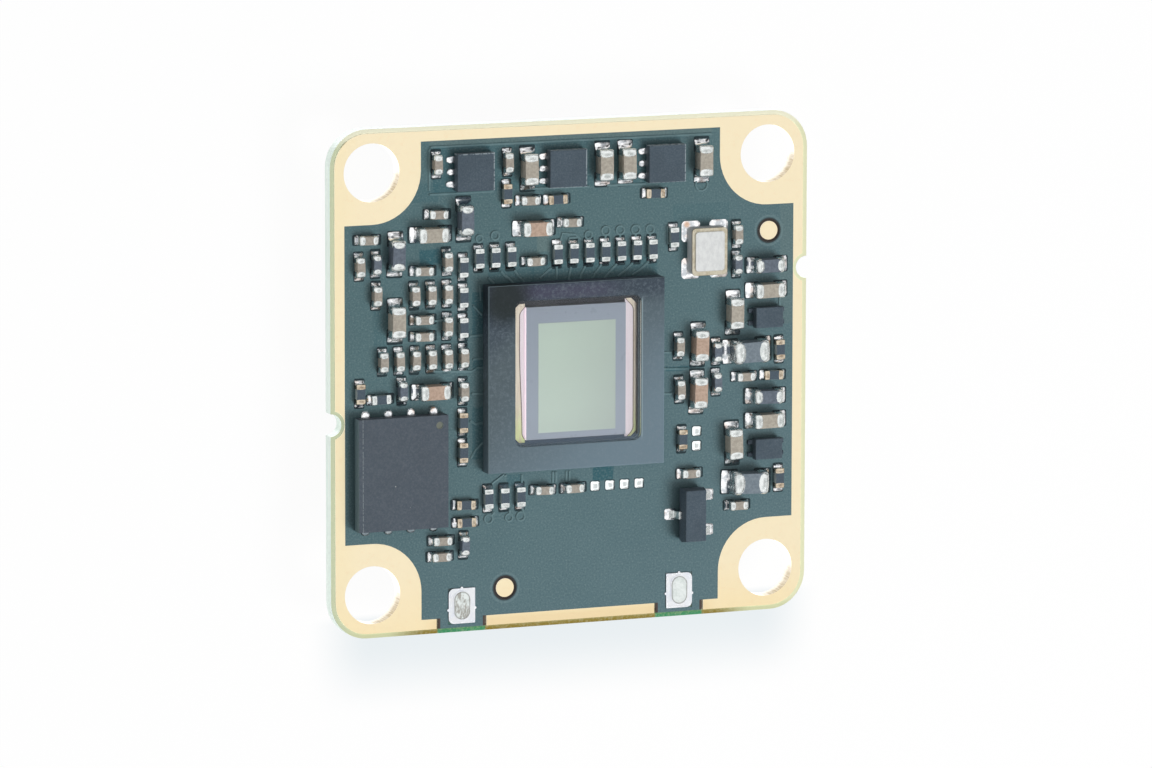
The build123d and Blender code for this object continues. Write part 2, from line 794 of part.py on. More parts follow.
# The receptacle's shell as seen from the front: bevelled side walls and a valley that parts the
# wide port from the narrow one. Heights are measured from the board's rear.
half_width = receptacle_width / 2


def shell_section(front_y, inset):
    with BuildSketch(Plane((0, front_y, rear_face), x_dir=(1, 0, 0), z_dir=(0, -1, 0))) as section:
        with BuildLine():
            Polyline(
                (-half_width, -receptacle_height),
                (half_width, -receptacle_height),
                (half_width, -side_bevel_height),
                (half_width - side_bevel_width, 0),
                (valley_x + valley_bottom_width / 2, 0),
                (valley_x + valley_top_width / 2, -valley_depth),
                (valley_x - valley_top_width / 2, -valley_depth),
                (valley_x - valley_bottom_width / 2, 0),
                (-half_width + side_bevel_width, 0),
                (-half_width, -side_bevel_height),
                close=True,
            )
        make_face()
        if inset > 0:
            offset(amount=-inset, kind=Kind.INTERSECTION)
    return section.sketch


tail_slot_height = 0.45
tail_slot_margin = 0.5
contact_pitch = 0.65
contact_count = 5
contact_width = 0.26
contact_thickness = 0.08
contact_tip_setback = 0.15
tail_length = 1.1
tail_rise = 0.42
wide_tongue_x = -2.7
narrow_tongue_x = 3.9
tongue_width = 3.5
tongue_thickness = 0.6
tongue_length = 3.2
insulator_clearance = 0.03
insulator_depth = 1.6

contact_row_width = (contact_count - 1) * contact_pitch
contact_row_centres = [wide_tongue_x, narrow_tongue_x]
contact_xs = [
    centre + (index - (contact_count - 1) / 2) * contact_pitch
    for centre in contact_row_centres
    for index in range(contact_count)
]

with BuildPart() as receptacle_shell:
    extrude(shell_section(receptacle_front_y, 0), amount=-receptacle_depth)
    extrude(shell_section(receptacle_front_y, receptacle_wall),
            amount=-(receptacle_depth - receptacle_wall), mode=Mode.SUBTRACT)
    # slots in the back wall, where the contacts' tails come out
    with BuildSketch(Plane((0, receptacle_rear_y, rear_face), x_dir=(1, 0, 0), z_dir=(0, -1, 0))):
        with Locations(*[(x, -tail_slot_height / 2) for x in contact_row_centres]):
            Rectangle(contact_row_width + 2 * tail_slot_margin, tail_slot_height)
    extrude(amount=receptacle_wall, mode=Mode.SUBTRACT)
    # windows for the plug's latches
    with BuildSketch(Plane.XY.offset(rear_face - receptacle_height)):
        with Locations((wide_tongue_x, receptacle_front_y + receptacle_depth / 2)):
            with GridLocations(latch_window_spacing, 1, 2, 1):
                Rectangle(latch_window_width, latch_window_length)
    extrude(amount=receptacle_wall, mode=Mode.SUBTRACT)
    # tabs that run on from the side walls into the board's slots
    tab_height = side_bevel_height - rear_face - tab_depth_below_front
    with Locations(*[(x, tab_y, rear_face - side_bevel_height) for x, y in tab_centres]):
        Box(receptacle_wall, receptacle_tab_length, tab_height,
            align=(Align.CENTER, Align.CENTER, Align.MIN))
write_piece(receptacle_shell, "receptacle_shell")

# Insulator: a block that fills the back of the shell, and a tongue for each row of contacts
insulator_back_y = receptacle_rear_y - receptacle_wall
insulator_front_y = insulator_back_y - insulator_depth
tongue_front_y = insulator_front_y - tongue_length
tongue_height = -receptacle_height / 2
with BuildPart() as receptacle_insulator:
    extrude(shell_section(insulator_back_y, receptacle_wall + insulator_clearance),
            amount=insulator_depth)
    with BuildSketch(Plane((0, insulator_front_y, rear_face), x_dir=(1, 0, 0), z_dir=(0, -1, 0))):
        with Locations(*[(x, tongue_height) for x in contact_row_centres]):
            Rectangle(tongue_width, tongue_thickness)
    extrude(amount=tongue_length)
write_piece(receptacle_insulator, "receptacle_insulator")

# Contacts under the tongues, and their tails, bent down from the insulator's back on to the board
contact_height = rear_face + tongue_height - tongue_thickness / 2
with BuildPart() as receptacle_contacts:
    with Locations(*[(x, insulator_front_y, contact_height) for x in contact_xs]):
        Box(contact_width, tongue_length - contact_tip_setback, contact_thickness,
            align=(Align.CENTER, Align.MAX, Align.MAX))
    with Locations(*[(x, insulator_back_y, rear_face) for x in contact_xs]):
        Box(contact_width, receptacle_wall + tail_length, contact_thickness,
            align=(Align.CENTER, Align.MIN, Align.MAX))
        Box(contact_width, contact_thickness, tail_rise, align=(Align.CENTER, Align.MIN, Align.MAX))
write_piece(receptacle_contacts, "receptacle_contacts")

# Soldered joints of the shell's tabs: a cushion on the front land and a plug in the slot
with BuildPart() as receptacle_tab_joints:
    with BuildSketch(Plane.XY.offset(laminate_top)):
        with Locations(*tab_centres):
            Rectangle(joint_width, joint_length)
        chamfer(vertices(), length=joint_corner_chamfer)
    extrude(amount=skin_thickness + joint_height)
    with BuildSketch(Plane.XY.offset(rear_face)):
        with Locations(*tab_centres):
            SlotOverall(slot_length - 2 * slot_fill_clearance, slot_width - 2 * slot_fill_clearance,
                        rotation=90)
    extrude(amount=laminate_top - rear_face)
    with Locations(*[(x, y, rear_face) for x, y in tab_centres]):
        Box(receptacle_wall, receptacle_tab_length, -rear_face - tab_depth_below_front,
            align=(Align.CENTER, Align.CENTER, Align.MIN), mode=Mode.SUBTRACT)
write_piece(receptacle_tab_joints, "receptacle_tab_joints")
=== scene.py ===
import math
import random

import bmesh
import bpy
from mathutils import Matrix, Vector


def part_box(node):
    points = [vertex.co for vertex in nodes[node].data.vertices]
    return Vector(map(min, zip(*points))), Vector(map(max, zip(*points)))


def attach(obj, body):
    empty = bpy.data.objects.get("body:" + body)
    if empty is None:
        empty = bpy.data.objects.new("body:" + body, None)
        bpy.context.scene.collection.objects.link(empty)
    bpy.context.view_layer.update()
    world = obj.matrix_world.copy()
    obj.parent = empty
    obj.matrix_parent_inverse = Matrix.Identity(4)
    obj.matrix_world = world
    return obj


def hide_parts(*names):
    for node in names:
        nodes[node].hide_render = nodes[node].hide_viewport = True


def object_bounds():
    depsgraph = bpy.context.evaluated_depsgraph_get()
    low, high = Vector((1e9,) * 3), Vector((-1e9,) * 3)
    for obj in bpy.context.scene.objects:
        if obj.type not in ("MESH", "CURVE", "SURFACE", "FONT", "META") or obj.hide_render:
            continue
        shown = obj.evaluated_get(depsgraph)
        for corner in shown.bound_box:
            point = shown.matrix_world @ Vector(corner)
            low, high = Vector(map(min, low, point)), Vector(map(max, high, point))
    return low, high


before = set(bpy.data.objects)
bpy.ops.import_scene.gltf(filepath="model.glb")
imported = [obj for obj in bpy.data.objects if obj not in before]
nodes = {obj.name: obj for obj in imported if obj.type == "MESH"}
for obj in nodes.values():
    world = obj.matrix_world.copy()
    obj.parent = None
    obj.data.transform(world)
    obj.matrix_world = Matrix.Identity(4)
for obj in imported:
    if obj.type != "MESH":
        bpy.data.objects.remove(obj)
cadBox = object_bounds()
scene = bpy.context.scene
dice = random.Random(27)
millimetre = 0.001
black = (0.0, 0.0, 0.0)
white = (1.0, 1.0, 1.0)


# a socket that takes part in sums and products
class Wire:
    def __init__(self, graph, socket):
        self.graph = graph
        self.socket = socket

    def join(self, operation, first, second):
        return self.graph.node("ShaderNodeMath", {"operation": operation}, {0: first, 1: second})

    def __add__(self, other):
        return self.join("ADD", self, other)

    def __radd__(self, other):
        return self.join("ADD", other, self)

    def __sub__(self, other):
        return self.join("SUBTRACT", self, other)

    def __rsub__(self, other):
        return self.join("SUBTRACT", other, self)

    def __mul__(self, other):
        return self.join("MULTIPLY", self, other)

    def __rmul__(self, other):
        return self.join("MULTIPLY", other, self)

    def __pow__(self, other):
        return self.join("POWER", self, other)

    def __rpow__(self, other):
        return self.join("POWER", other, self)


# a node tree that node() adds to
class Graph:
    def __init__(self, tree):
        self.tree = tree
        tree.nodes.clear()

    def node(self, kind, settings, inputs, output=0):
        made = self.tree.nodes.new(kind)
        for key, value in settings.items():
            if key == "stops":
                self.fillRamp(made.color_ramp, value)
            else:
                setattr(made, key, value)
        for key, value in inputs.items():
            self.feed(made.inputs[key], value)
        return Wire(self, made.outputs[output])

    def fillRamp(self, ramp, stops):
        for element, (position, colour) in zip(ramp.elements, stops):
            element.position = position
            element.color = (*colour, 1.0)

    def feed(self, socket, value):
        if isinstance(value, Wire):
            self.tree.links.new(value.socket, socket)
        elif socket.type == "RGBA" and len(value) == 3:
            socket.default_value = (*value, 1.0)
        else:
            socket.default_value = value

    def ray(self, name):
        return self.node("ShaderNodeLightPath", {}, {}, name)

    # 0 below the first value, 1 above the second, smooth between
    def ramp(self, value, low, high, start=0.0, end=1.0):
        return self.node("ShaderNodeMapRange", {"interpolation_type": "SMOOTHSTEP"},
                         {"Value": value, "From Min": low, "From Max": high, "To Min": start, "To Max": end})

    # 1 below the first value, 0 above the second
    def fall(self, value, low, high):
        return self.ramp(value, low, high, 1.0, 0.0)

    def larger(self, first, second):
        return self.node("ShaderNodeMath", {"operation": "MAXIMUM"}, {0: first, 1: second})

    def size(self, value):
        return self.node("ShaderNodeMath", {"operation": "ABSOLUTE"}, {0: value})


# a material with one Principled surface; lengths in it are millimetres
class Finish(Graph):
    def __init__(self, name, **constants):
        self.material = bpy.data.materials.new(name)
        self.material.use_nodes = True
        super().__init__(self.material.node_tree)
        self.surface = self.tree.nodes.new("ShaderNodeBsdfPrincipled")
        self.output = self.tree.nodes.new("ShaderNodeOutputMaterial")
        self.tree.links.new(self.surface.outputs[0], self.output.inputs[0])
        for key, value in constants.items():
            self.set(key.replace("_", " "), value)
        self.place = self.node("ShaderNodeTexCoord", {}, {}, "Object")
        self.base = black

    def set(self, name, value):
        self.feed(self.surface.inputs[name], value)

    def spot(self, stretch=(1.0, 1.0, 1.0)):
        scale = tuple(part / millimetre for part in stretch)
        return self.node("ShaderNodeMapping", {}, {"Vector": self.place, "Scale": scale})

    def axis(self, name):
        return self.node("ShaderNodeSeparateXYZ", {}, {"Vector": self.spot()}, name)

    def facing(self, name):
        normal = self.node("ShaderNodeNewGeometry", {}, {}, "Normal")
        return self.node("ShaderNodeSeparateXYZ", {}, {"Vector": normal}, name)

    # noise from 0 to 1 with features about as large as size
    def grain(self, size, detail=2.0, stretch=(1.0, 1.0, 1.0), rough=0.5):
        return self.node("ShaderNodeTexNoise", {}, {"Vector": self.spot(stretch), "Scale": 1.0 / size,
                                                    "Detail": detail, "Roughness": rough}, "Fac")

    # noise cut to soft patches: 0 where it is under low, 1 over high
    def patches(self, size, detail, low, high, stretch=(1.0, 1.0, 1.0), rough=0.5):
        return self.ramp(self.grain(size, detail, stretch, rough), low, high)

    # 1 at scattered points, 0 from radius onwards
    def dots(self, size, radius, core=0.0):
        inputs = {"Vector": self.spot(), "Scale": 1.0 / size}
        return self.fall(self.node("ShaderNodeTexVoronoi", {}, inputs, "Distance"), core, radius)

    # 1 within half of the middle, 0 outside, with an edge as soft as given
    def inside(self, value, middle, half, soft):
        return self.fall(self.size(value - middle), half - soft / 2, half + soft / 2)

    # the same along x and y, each with its (middle, half, soft)
    def field(self, x, y, rangeX, rangeY):
        return self.inside(x, *rangeX) * self.inside(y, *rangeY)

    # distance from an upright line through x and y
    def distance(self, x, y):
        flat = self.node("ShaderNodeCombineXYZ", {}, {"X": self.axis("X") - x, "Y": self.axis("Y") - y})
        return self.node("ShaderNodeVectorMath", {"operation": "LENGTH"}, {0: flat}, "Value")

    def blend(self, amount, first, second):
        return self.node("ShaderNodeMix", {"data_type": "RGBA"}, {"Factor": amount, 6: first, 7: second}, 2)

    # lays a colour over the base colour so far
    def paint(self, amount, colour):
        self.base = self.blend(amount, self.base, colour)

    def roughen(self, low, span, size, detail=3.0):
        self.set("Roughness", self.grain(size, detail) * span + low)

    def emboss(self, height, depth):
        bump = {"Height": height, "Distance": depth * millimetre, "Strength": 1.0}
        self.set("Normal", self.node("ShaderNodeBump", {}, bump))

    def done(self):
        self.set("Base Color", self.base)
        return self.material


# a colour picked on screen, made linear
def linear(red, green, blue):
    def part(value):
        value /= 255.0
        return value / 12.92 if value <= 0.04045 else ((value + 0.055) / 1.055) ** 2.4
    return (part(red), part(green), part(blue))


# what the mask and the laminate both show; ranges are middle, half width and softness
boardLook = {"fiducials": [(11.3, 7.06), (-3.75, -11.3)], "tabs": 6.2, "bare": linear(66, 44, 34),
             "gapEnd": (1.32, 0.12, 0.03), "gapStrip": (-12.98, 0.27, 0.04)}


def fromTab(finish):
    return finish.size(finish.size(finish.axis("X")) - boardLook["tabs"])


# the ends of the gold strip beside each tab, where dark laminate is bare
def paintGapEnds(finish):
    ends = finish.field(fromTab(finish), finish.axis("Y"), boardLook["gapEnd"], boardLook["gapStrip"])
    finish.paint(ends * 0.9, boardLook["bare"])


maskLook = {
    "upper": linear(82, 112, 116), "lower": linear(91, 118, 124), "cloud": linear(60, 90, 98),
    "paleWeave": linear(122, 144, 146), "darkWeave": linear(44, 76, 86), "weave": 0.48,
    "dust": linear(170, 190, 190), "halo": linear(124, 148, 152), "clearing": linear(34, 36, 38),
    "overTrace": linear(120, 148, 152), "noCopper": linear(30, 84, 94), "moreCopper": linear(104, 124, 122),
    "waver": 0.16, "edge": 0.1, "roughness": (0.32, 0.18, 0.5), "relief": 0.006,
    # fields of another tone: middle x and y, half width and length, and strength, below 0 over more copper
    "fields": [
        (-6.2, 11.15, 1.6, 1.25, 0.55), (0.6, 11.15, 5.6, 1.2, 0.35), (0.0, 12.62, 8.0, 0.13, -0.5),
        (-7.95, 6.6, 0.6, 0.4, 0.9), (-8.7, 10.0, 1.2, 0.5, 0.3), (-10.6, 3.0, 0.5, 1.6, 0.25),
        (1.82, -5.5, 0.6, 0.36, 0.9), (-3.2, -5.55, 0.42, 0.3, 0.5), (-5.3, 3.4, 0.3, 1.2, 0.75),
        (-5.3, -2.9, 0.3, 1.4, 0.6), (-5.25, 0.75, 0.3, 0.3, 0.7), (1.3, 5.5, 3.6, 0.5, 0.45),
        (-3.4, 5.5, 1.3, 0.5, 0.4), (-8.95, 4.7, 0.28, 0.6, -0.5), (-1.6, 7.0, 0.35, 0.45, -0.5),
        (6.1, -0.1, 0.7, 0.12, 0.8), (7.4, 8.2, 1.6, 0.5, 0.2), (12.45, 5.4, 0.5, 3.4, -0.35),
    ],
}


def makeMaskFinish(name, raised=0.0, front=True):
    look = maskLook
    finish = Finish(name, IOR=1.5)
    lower = finish.ramp(finish.axis("X") * 0.8 - finish.axis("Y"), -15.0, 17.0)
    finish.base = finish.blend(lower, look["upper"], look["lower"])
    finish.paint(finish.grain(3.5, 3.0) * 0.5, look["cloud"])
    unevenX = finish.axis("X") + (finish.grain(0.9) - 0.5) * look["waver"]
    unevenY = finish.axis("Y") + (finish.grain(0.7) - 0.5) * look["waver"]
    edge = look["edge"]
    for middleX, middleY, halfX, halfY, strength in look["fields"] if front else ():
        field = finish.field(unevenX, unevenY, (middleX, halfX, edge), (middleY, halfY, edge))
        finish.paint(field * abs(strength), look["noCopper"] if strength > 0.0 else look["moreCopper"])
    weave = finish.grain(0.1, 3.0, rough=0.75)
    finish.paint(finish.ramp(weave, 0.48, 0.7) * look["weave"], look["paleWeave"])
    finish.paint(finish.fall(weave, 0.3, 0.46) * look["weave"], look["darkWeave"])
    finish.paint(finish.dots(0.85, 0.05) * 0.3, look["dust"])
    for middleX, middleY in boardLook["fiducials"] if front else ():
        away = finish.distance(middleX, middleY)
        finish.paint(finish.ramp(away, 0.72, 0.76) * finish.fall(away, 0.8, 0.88) * 0.3, look["halo"])
        finish.paint(finish.fall(away, 0.66, 0.72) * 0.9, look["clearing"])
    if front:
        paintGapEnds(finish)
    finish.paint(raised, look["overTrace"])
    finish.roughen(*look["roughness"])
    finish.emboss(finish.grain(0.16, 3.0) + finish.grain(1.1) * 1.4, look["relief"])
    return finish.done()


goldLook = {
    "upper": linear(251, 236, 201), "lower": linear(252, 231, 184), "strip": linear(240, 214, 166),
    "left": linear(250, 234, 190), "stain": linear(236, 208, 160), "pit": linear(200, 164, 120),
    "barrel": linear(252, 248, 240), "barrelShade": linear(168, 152, 122), "glow": (0.085, 0.08, 0.065),
    "stripX": (0.0, 8.0, 1.0), "holes": (11.2, 1.7, 0.1), "roughness": (0.34, 0.12, 0.3), "relief": 0.005,
}


def makeGoldFinish(name):
    look = goldLook
    finish = Finish(name, Metallic=1.0, Emission_Strength=0.6)
    acrossX, acrossY = finish.axis("X"), finish.axis("Y")
    slope = finish.ramp(acrossY + finish.grain(4.0) * 3.0, -13.4, -8.0)
    finish.base = finish.blend(slope, look["lower"], look["upper"])
    strip = finish.fall(acrossY, -13.0, -12.6) * finish.inside(acrossX, *look["stripX"])
    finish.paint(strip * 0.6, look["strip"])
    finish.paint(finish.fall(acrossX, -13.3, -11.5) * 0.5, look["left"])
    finish.paint(finish.patches(0.4, 4.0, 0.5, 0.78, rough=0.7) * 0.22, look["stain"])
    pits = finish.dots(0.5, 0.06)
    finish.paint(pits * 0.35, look["pit"])
    # painted shade on the lower right wall of each plated hole, streaked like drill marks
    shadedWall = finish.ramp(finish.facing("Y") * 0.72 - finish.facing("X") * 0.7, 0.5, 0.94)
    shadedWall = shadedWall * finish.ramp(finish.axis("Z"), -0.86, -0.3, 0.4, 1.0)
    inHole = finish.field(finish.size(acrossX), finish.size(acrossY), look["holes"], look["holes"])
    wallStreaks = finish.patches(0.07, 2.0, 0.3, 0.7, stretch=(1.0, 1.0, 0.05)) * 0.3 + 0.7
    wall = finish.blend(shadedWall * wallStreaks * inHole, look["barrel"], look["barrelShade"])
    upward = finish.ramp(finish.size(finish.facing("Z")), 0.2, 0.7)
    finish.base = finish.blend(upward, wall, finish.base)
    # painted light: the hole walls glow in their painted colours, and the level gold glows faintly
    finish.set("Emission Color", finish.blend(upward, wall, look["glow"]))
    finish.roughen(*look["roughness"])
    finish.emboss(finish.grain(0.08, 3.0) + pits * -0.6, look["relief"])
    return finish.done()


laminateLook = {
    "wall": linear(222, 240, 228), "wallFibre": linear(204, 228, 210), "fibre": linear(236, 232, 200),
    "rim": linear(208, 218, 182), "rimRight": linear(236, 238, 198), "rimTop": linear(250, 249, 222),
    "rimBottom": linear(138, 118, 30), "rimCorner": linear(216, 220, 174), "besideTab": linear(66, 92, 98),
    "gap": linear(48, 140, 92), "opening": linear(32, 22, 16),
    "glow": (0.56, 0.56, 0.58), "faintGlow": (0.06, 0.07, 0.06), "relief": 0.012,
}


def makeLaminateFinish(name):
    look = laminateLook
    finish = Finish(name, Roughness=0.42, IOR=1.5, Emission_Strength=1.0)
    acrossX, acrossY = finish.axis("X"), finish.axis("Y")
    plies = finish.grain(0.9, 3.0, stretch=(0.12, 0.12, 9.0))
    wall = finish.blend(finish.ramp(plies, 0.35, 0.7), look["wallFibre"], look["wall"])
    finish.base = finish.blend(finish.ramp(acrossX, 8.0, 13.4), look["rim"], look["rimRight"])
    finish.paint(finish.ramp(acrossY, 12.4, 13.2), look["rimTop"])
    atBottom = finish.fall(acrossY, -13.45, -12.8)
    cornerward = finish.ramp(finish.size(acrossX), 8.2, 10.6)
    finish.paint(atBottom, finish.blend(cornerward, look["rimBottom"], look["rimCorner"]))
    beside = fromTab(finish)
    finish.paint(finish.field(beside, acrossY, (0.0, 0.95, 0.05), (-12.0, 1.2, 0.05)), look["besideTab"])
    finish.paint(atBottom * finish.inside(beside, 0.0, 1.35, 0.1), look["gap"])
    paintGapEnds(finish)
    finish.paint(finish.patches(0.14, 3.0, 0.4, 0.75, rough=0.7) * 0.25, look["fibre"])
    for middleX, middleY in boardLook["fiducials"]:
        near = finish.fall(finish.distance(middleX, middleY), 0.8, 0.9)
        finish.paint(near * finish.ramp(finish.axis("Z"), -0.5, -0.3), look["opening"])
    upward = finish.ramp(finish.size(finish.facing("Z")), 0.35, 0.8)
    finish.base = finish.blend(upward, wall, finish.base)
    lit = finish.larger(finish.ramp(finish.facing("Y"), 0.2, 0.8),
                        finish.ramp(finish.facing("X"), -0.8, -0.2, 0.45, 0.0))
    glow = finish.blend(lit, look["faintGlow"], look["glow"])
    finish.set("Emission Color", finish.blend(upward, glow, black))
    finish.emboss(plies + finish.grain(0.06, 3.0) * 0.6, look["relief"])
    return finish.done()


# each field is middle, half width and softness along x, then along y
packageLook = {
    "light": linear(112, 132, 144), "middle": linear(84, 97, 103), "dark": linear(46, 56, 70),
    "top": linear(46, 54, 70), "violet": linear(88, 82, 106), "corner": linear(54, 68, 76),
    "speck": linear(128, 142, 152), "darkReflection": linear(18, 28, 27), "rim": linear(160, 180, 186),
    "edge": linear(150, 170, 178), "floor": linear(34, 37, 48), "litLowerWall": linear(74, 92, 110),
    "darkReflectionPlace": (-4.0, 4.3), "cornerShadePlace": (4.6, 5.0),
    "violetField": ((-1.0, 3.0, 2.4), (4.5, 0.35, 0.5)), "well": ((0.1, 3.6, 0.02), (0.24, 3.92, 0.02)),
    "rimHighlightField": ((3.71, 0.035, 0.04), (0.2, 3.7, 0.3)), "roughness": (0.46, 0.2, 0.4), "relief": 0.008,
}


def makePackageFinish(name):
    look = packageLook
    finish = Finish(name, IOR=1.42, Emission_Strength=0.4)
    acrossX, acrossY = finish.axis("X"), finish.axis("Y")
    # painted reflection: darker towards the upper left and along the top, lighter towards the lower right
    slope = acrossY * -0.7 + acrossX * 0.55 + (finish.grain(1.8) * 1.2 - 0.6)
    finish.base = finish.blend(finish.ramp(slope, -5.6, -2.4), look["dark"], look["middle"])
    finish.paint(finish.ramp(slope, -2.6, 4.6), look["light"])
    finish.paint(finish.ramp(acrossY, 3.5, 4.5) * 0.75, look["top"])
    finish.paint(finish.field(acrossX, acrossY, *look["violetField"]) * 0.35, look["violet"])
    # painted shade towards the upper right corner
    finish.paint(finish.fall(finish.distance(*look["cornerShadePlace"]), 1.0, 3.4) * 0.25, look["corner"])
    finish.paint(finish.patches(0.15, 4.0, 0.44, 0.7, rough=0.75) * 0.36, look["speck"])
    # painted dark reflection near the upper left of the window
    darkReflection = finish.fall(finish.distance(*look["darkReflectionPlace"]) + finish.grain(0.6, 3.0) * 0.6, 0.9, 2.3)
    finish.paint(darkReflection * 0.9, look["darkReflection"])
    # deep in the window: a dark floor, and a lower wall painted lighter that glows, painted light
    deep = finish.fall(finish.axis("Z"), 0.4, 0.78) * finish.field(acrossX, acrossY, *look["well"])
    lower = finish.fall(acrossY, -3.5, -3.3)
    finish.paint(deep, finish.blend(lower, look["floor"], look["litLowerWall"]))
    finish.set("Emission Color", finish.blend(deep * lower, black, look["litLowerWall"]))
    # painted highlight along the window's right rim
    finish.paint(finish.field(acrossX, acrossY, *look["rimHighlightField"]) * 0.7, look["rim"])
    # painted highlight on the bevels that face left or towards +y
    edge = finish.inside(finish.size(finish.facing("Z")), 0.66, 0.26, 0.16)
    leftward = finish.ramp(finish.facing("Y") * 0.5 - finish.facing("X"), 0.2, 0.5)
    finish.paint(edge * leftward * 0.6, look["edge"])
    finish.roughen(*look["roughness"])
    flat = finish.ramp(finish.facing("Z"), 0.5, 0.9)
    finish.emboss((finish.grain(0.07, 4.0) + finish.grain(0.6) * 0.7) * flat, look["relief"])
    return finish.done()


# what every moulded piece has unless its own look says otherwise
mouldCommon = {"grain": 0.09, "cloud": 0.3, "dim": 0.6, "roughness": 0.52, "relief": 0.009, "lines": (),
             "line": linear(176, 190, 196)}
mouldLooks = {
    "mouldCompound": {"body": linear(68, 82, 93), "fleck": linear(106, 118, 128)},
    # pale lines along the upper and left edges of the regulators
    "regulatorCompound": {"body": linear(68, 82, 93), "fleck": linear(106, 118, 128),
                          "lines": (("Y", 9.98), ("Y", 12.0), ("X", -4.56), ("X", 0.64), ("X", 6.26))},
    "memoryCompound": {"body": linear(74, 84, 94), "fleck": linear(108, 114, 122), "grain": 0.1,
                       "cloud": 0.25, "dim": 0.7, "roughness": 0.5, "relief": 0.01},
    "ceramicBase": {"body": linear(202, 206, 208), "fleck": linear(216, 218, 219)},
    "insulatorPlastic": {"body": linear(32, 33, 36), "fleck": linear(52, 53, 56), "grain": 0.14},
}


def startMouldFinish(name, look):
    finish = Finish(name, IOR=1.5)
    speck = finish.patches(look["grain"], 4.0, 0.38, 0.7, rough=0.75)
    finish.base = finish.blend(speck * 0.5, look["body"], look["fleck"])
    dim = tuple(part * look["dim"] for part in look["body"])
    finish.paint(finish.patches(1.4, 3.0, 0.3, 0.75) * look["cloud"], dim)
    finish.roughen(look["roughness"], 0.2, 0.3)
    finish.emboss(finish.grain(look["grain"] * 0.8, 4.0, rough=0.7), look["relief"])
    return finish


def makeMouldFinish(name):
    look = {**mouldCommon, **mouldLooks[name]}
    finish = startMouldFinish(name, look)
    broken = finish.patches(0.13, 2.0, 0.4, 0.5)
    for along, place in look["lines"]:
        finish.paint(finish.inside(finish.axis(along), place, 0.03, 0.03) * broken * 0.7, look["line"])
    return finish.done()


memoryLook = {"mark": linear(122, 126, 112), "markPlace": (-7.7, -2.23), "markRadius": 0.19,
              "step": linear(150, 160, 164), "bevelHighlightPlace": -11.98, "chip": linear(210, 214, 214),
              "leftSideLight": linear(96, 124, 130)}


def makeMemoryFinish(name):
    look = memoryLook
    finish = startMouldFinish(name, {**mouldCommon, **mouldLooks[name]})
    # a broken pale line along the left edge of the top: painted highlight on the bevel
    step = finish.inside(finish.axis("X"), look["bevelHighlightPlace"], 0.02, 0.02)
    finish.paint(step * finish.patches(0.12, 2.0, 0.42, 0.5) * 0.6, look["step"])
    away = finish.distance(*look["markPlace"]) + finish.grain(0.1) * 0.05
    finish.paint(finish.fall(away, look["markRadius"], look["markRadius"] + 0.05) * 0.8, look["mark"])
    finish.paint(finish.dots(1.6, 0.035), look["chip"])
    # faces towards the left are painted lighter: painted light
    finish.paint(finish.fall(finish.facing("X"), -0.7, -0.3) * 0.6, look["leftSideLight"])
    return finish.done()


siliconLook = {"lower": linear(187, 197, 212), "upper": linear(174, 185, 200), "row": linear(110, 114, 140),
               "leftSideLight": linear(250, 238, 244), "leftSideLightGlow": linear(214, 200, 208),
               "roughness": (0.24, 0.1, 0.6, 2.0)}


def makeSiliconFinish(name):
    look = siliconLook
    finish = Finish(name, IOR=1.55, Emission_Strength=1.0)
    slope = finish.ramp(finish.axis("Y") + finish.grain(3.0) * 2.0, -3.6, 4.4)
    finish.base = finish.blend(slope, look["lower"], look["upper"])
    rows = finish.node("ShaderNodeTexWave", {"wave_type": "BANDS", "bands_direction": "Y"},
                       {"Vector": finish.spot(), "Scale": 3.0, "Distortion": 0.0}, "Fac")
    finish.paint(rows * 0.06, look["row"])
    # the die's faces towards the left are painted pale and glow: painted light
    leftSideLight = finish.fall(finish.facing("X"), -0.7, -0.3)
    finish.paint(leftSideLight, look["leftSideLight"])
    finish.set("Emission Color", finish.blend(leftSideLight, black, look["leftSideLightGlow"]))
    finish.roughen(*look["roughness"])
    return finish.done()


pixelLook = {"right": linear(210, 222, 214), "left": linear(228, 243, 231), "upper": linear(202, 222, 204),
             "lattice": linear(180, 200, 188), "roughness": (0.36, 0.08, 0.5, 2.0)}


def makePixelFinish(name):
    look = pixelLook
    finish = Finish(name, IOR=1.5)
    slope = finish.ramp(finish.axis("X") * -1.0 + finish.grain(2.6, 3.0) * 1.6, -2.6, 3.0)
    finish.base = finish.blend(slope, look["right"], look["left"])
    finish.paint(finish.ramp(finish.axis("Y"), -3.2, 2.8) * 0.3, look["upper"])
    lattice = finish.node("ShaderNodeTexChecker", {}, {"Vector": finish.spot(), "Scale": 34.0}, "Fac")
    finish.paint(lattice * 0.06, look["lattice"])
    finish.roughen(*look["roughness"])
    return finish.done()


# the line parts the pale band on the chip's side from the bonding fingers
bondLook = {"band": linear(255, 244, 250), "bandShade": linear(244, 228, 236), "line": linear(112, 92, 80),
            "upperWire": linear(250, 238, 218), "lowerWire": linear(232, 240, 180),
            "wireShade": linear(226, 208, 184), "middle": 0.1, "rightLine": 3.3, "leftLine": 3.16,
            "taper": 0.14, "bend": 0.46, "relief": 0.006}


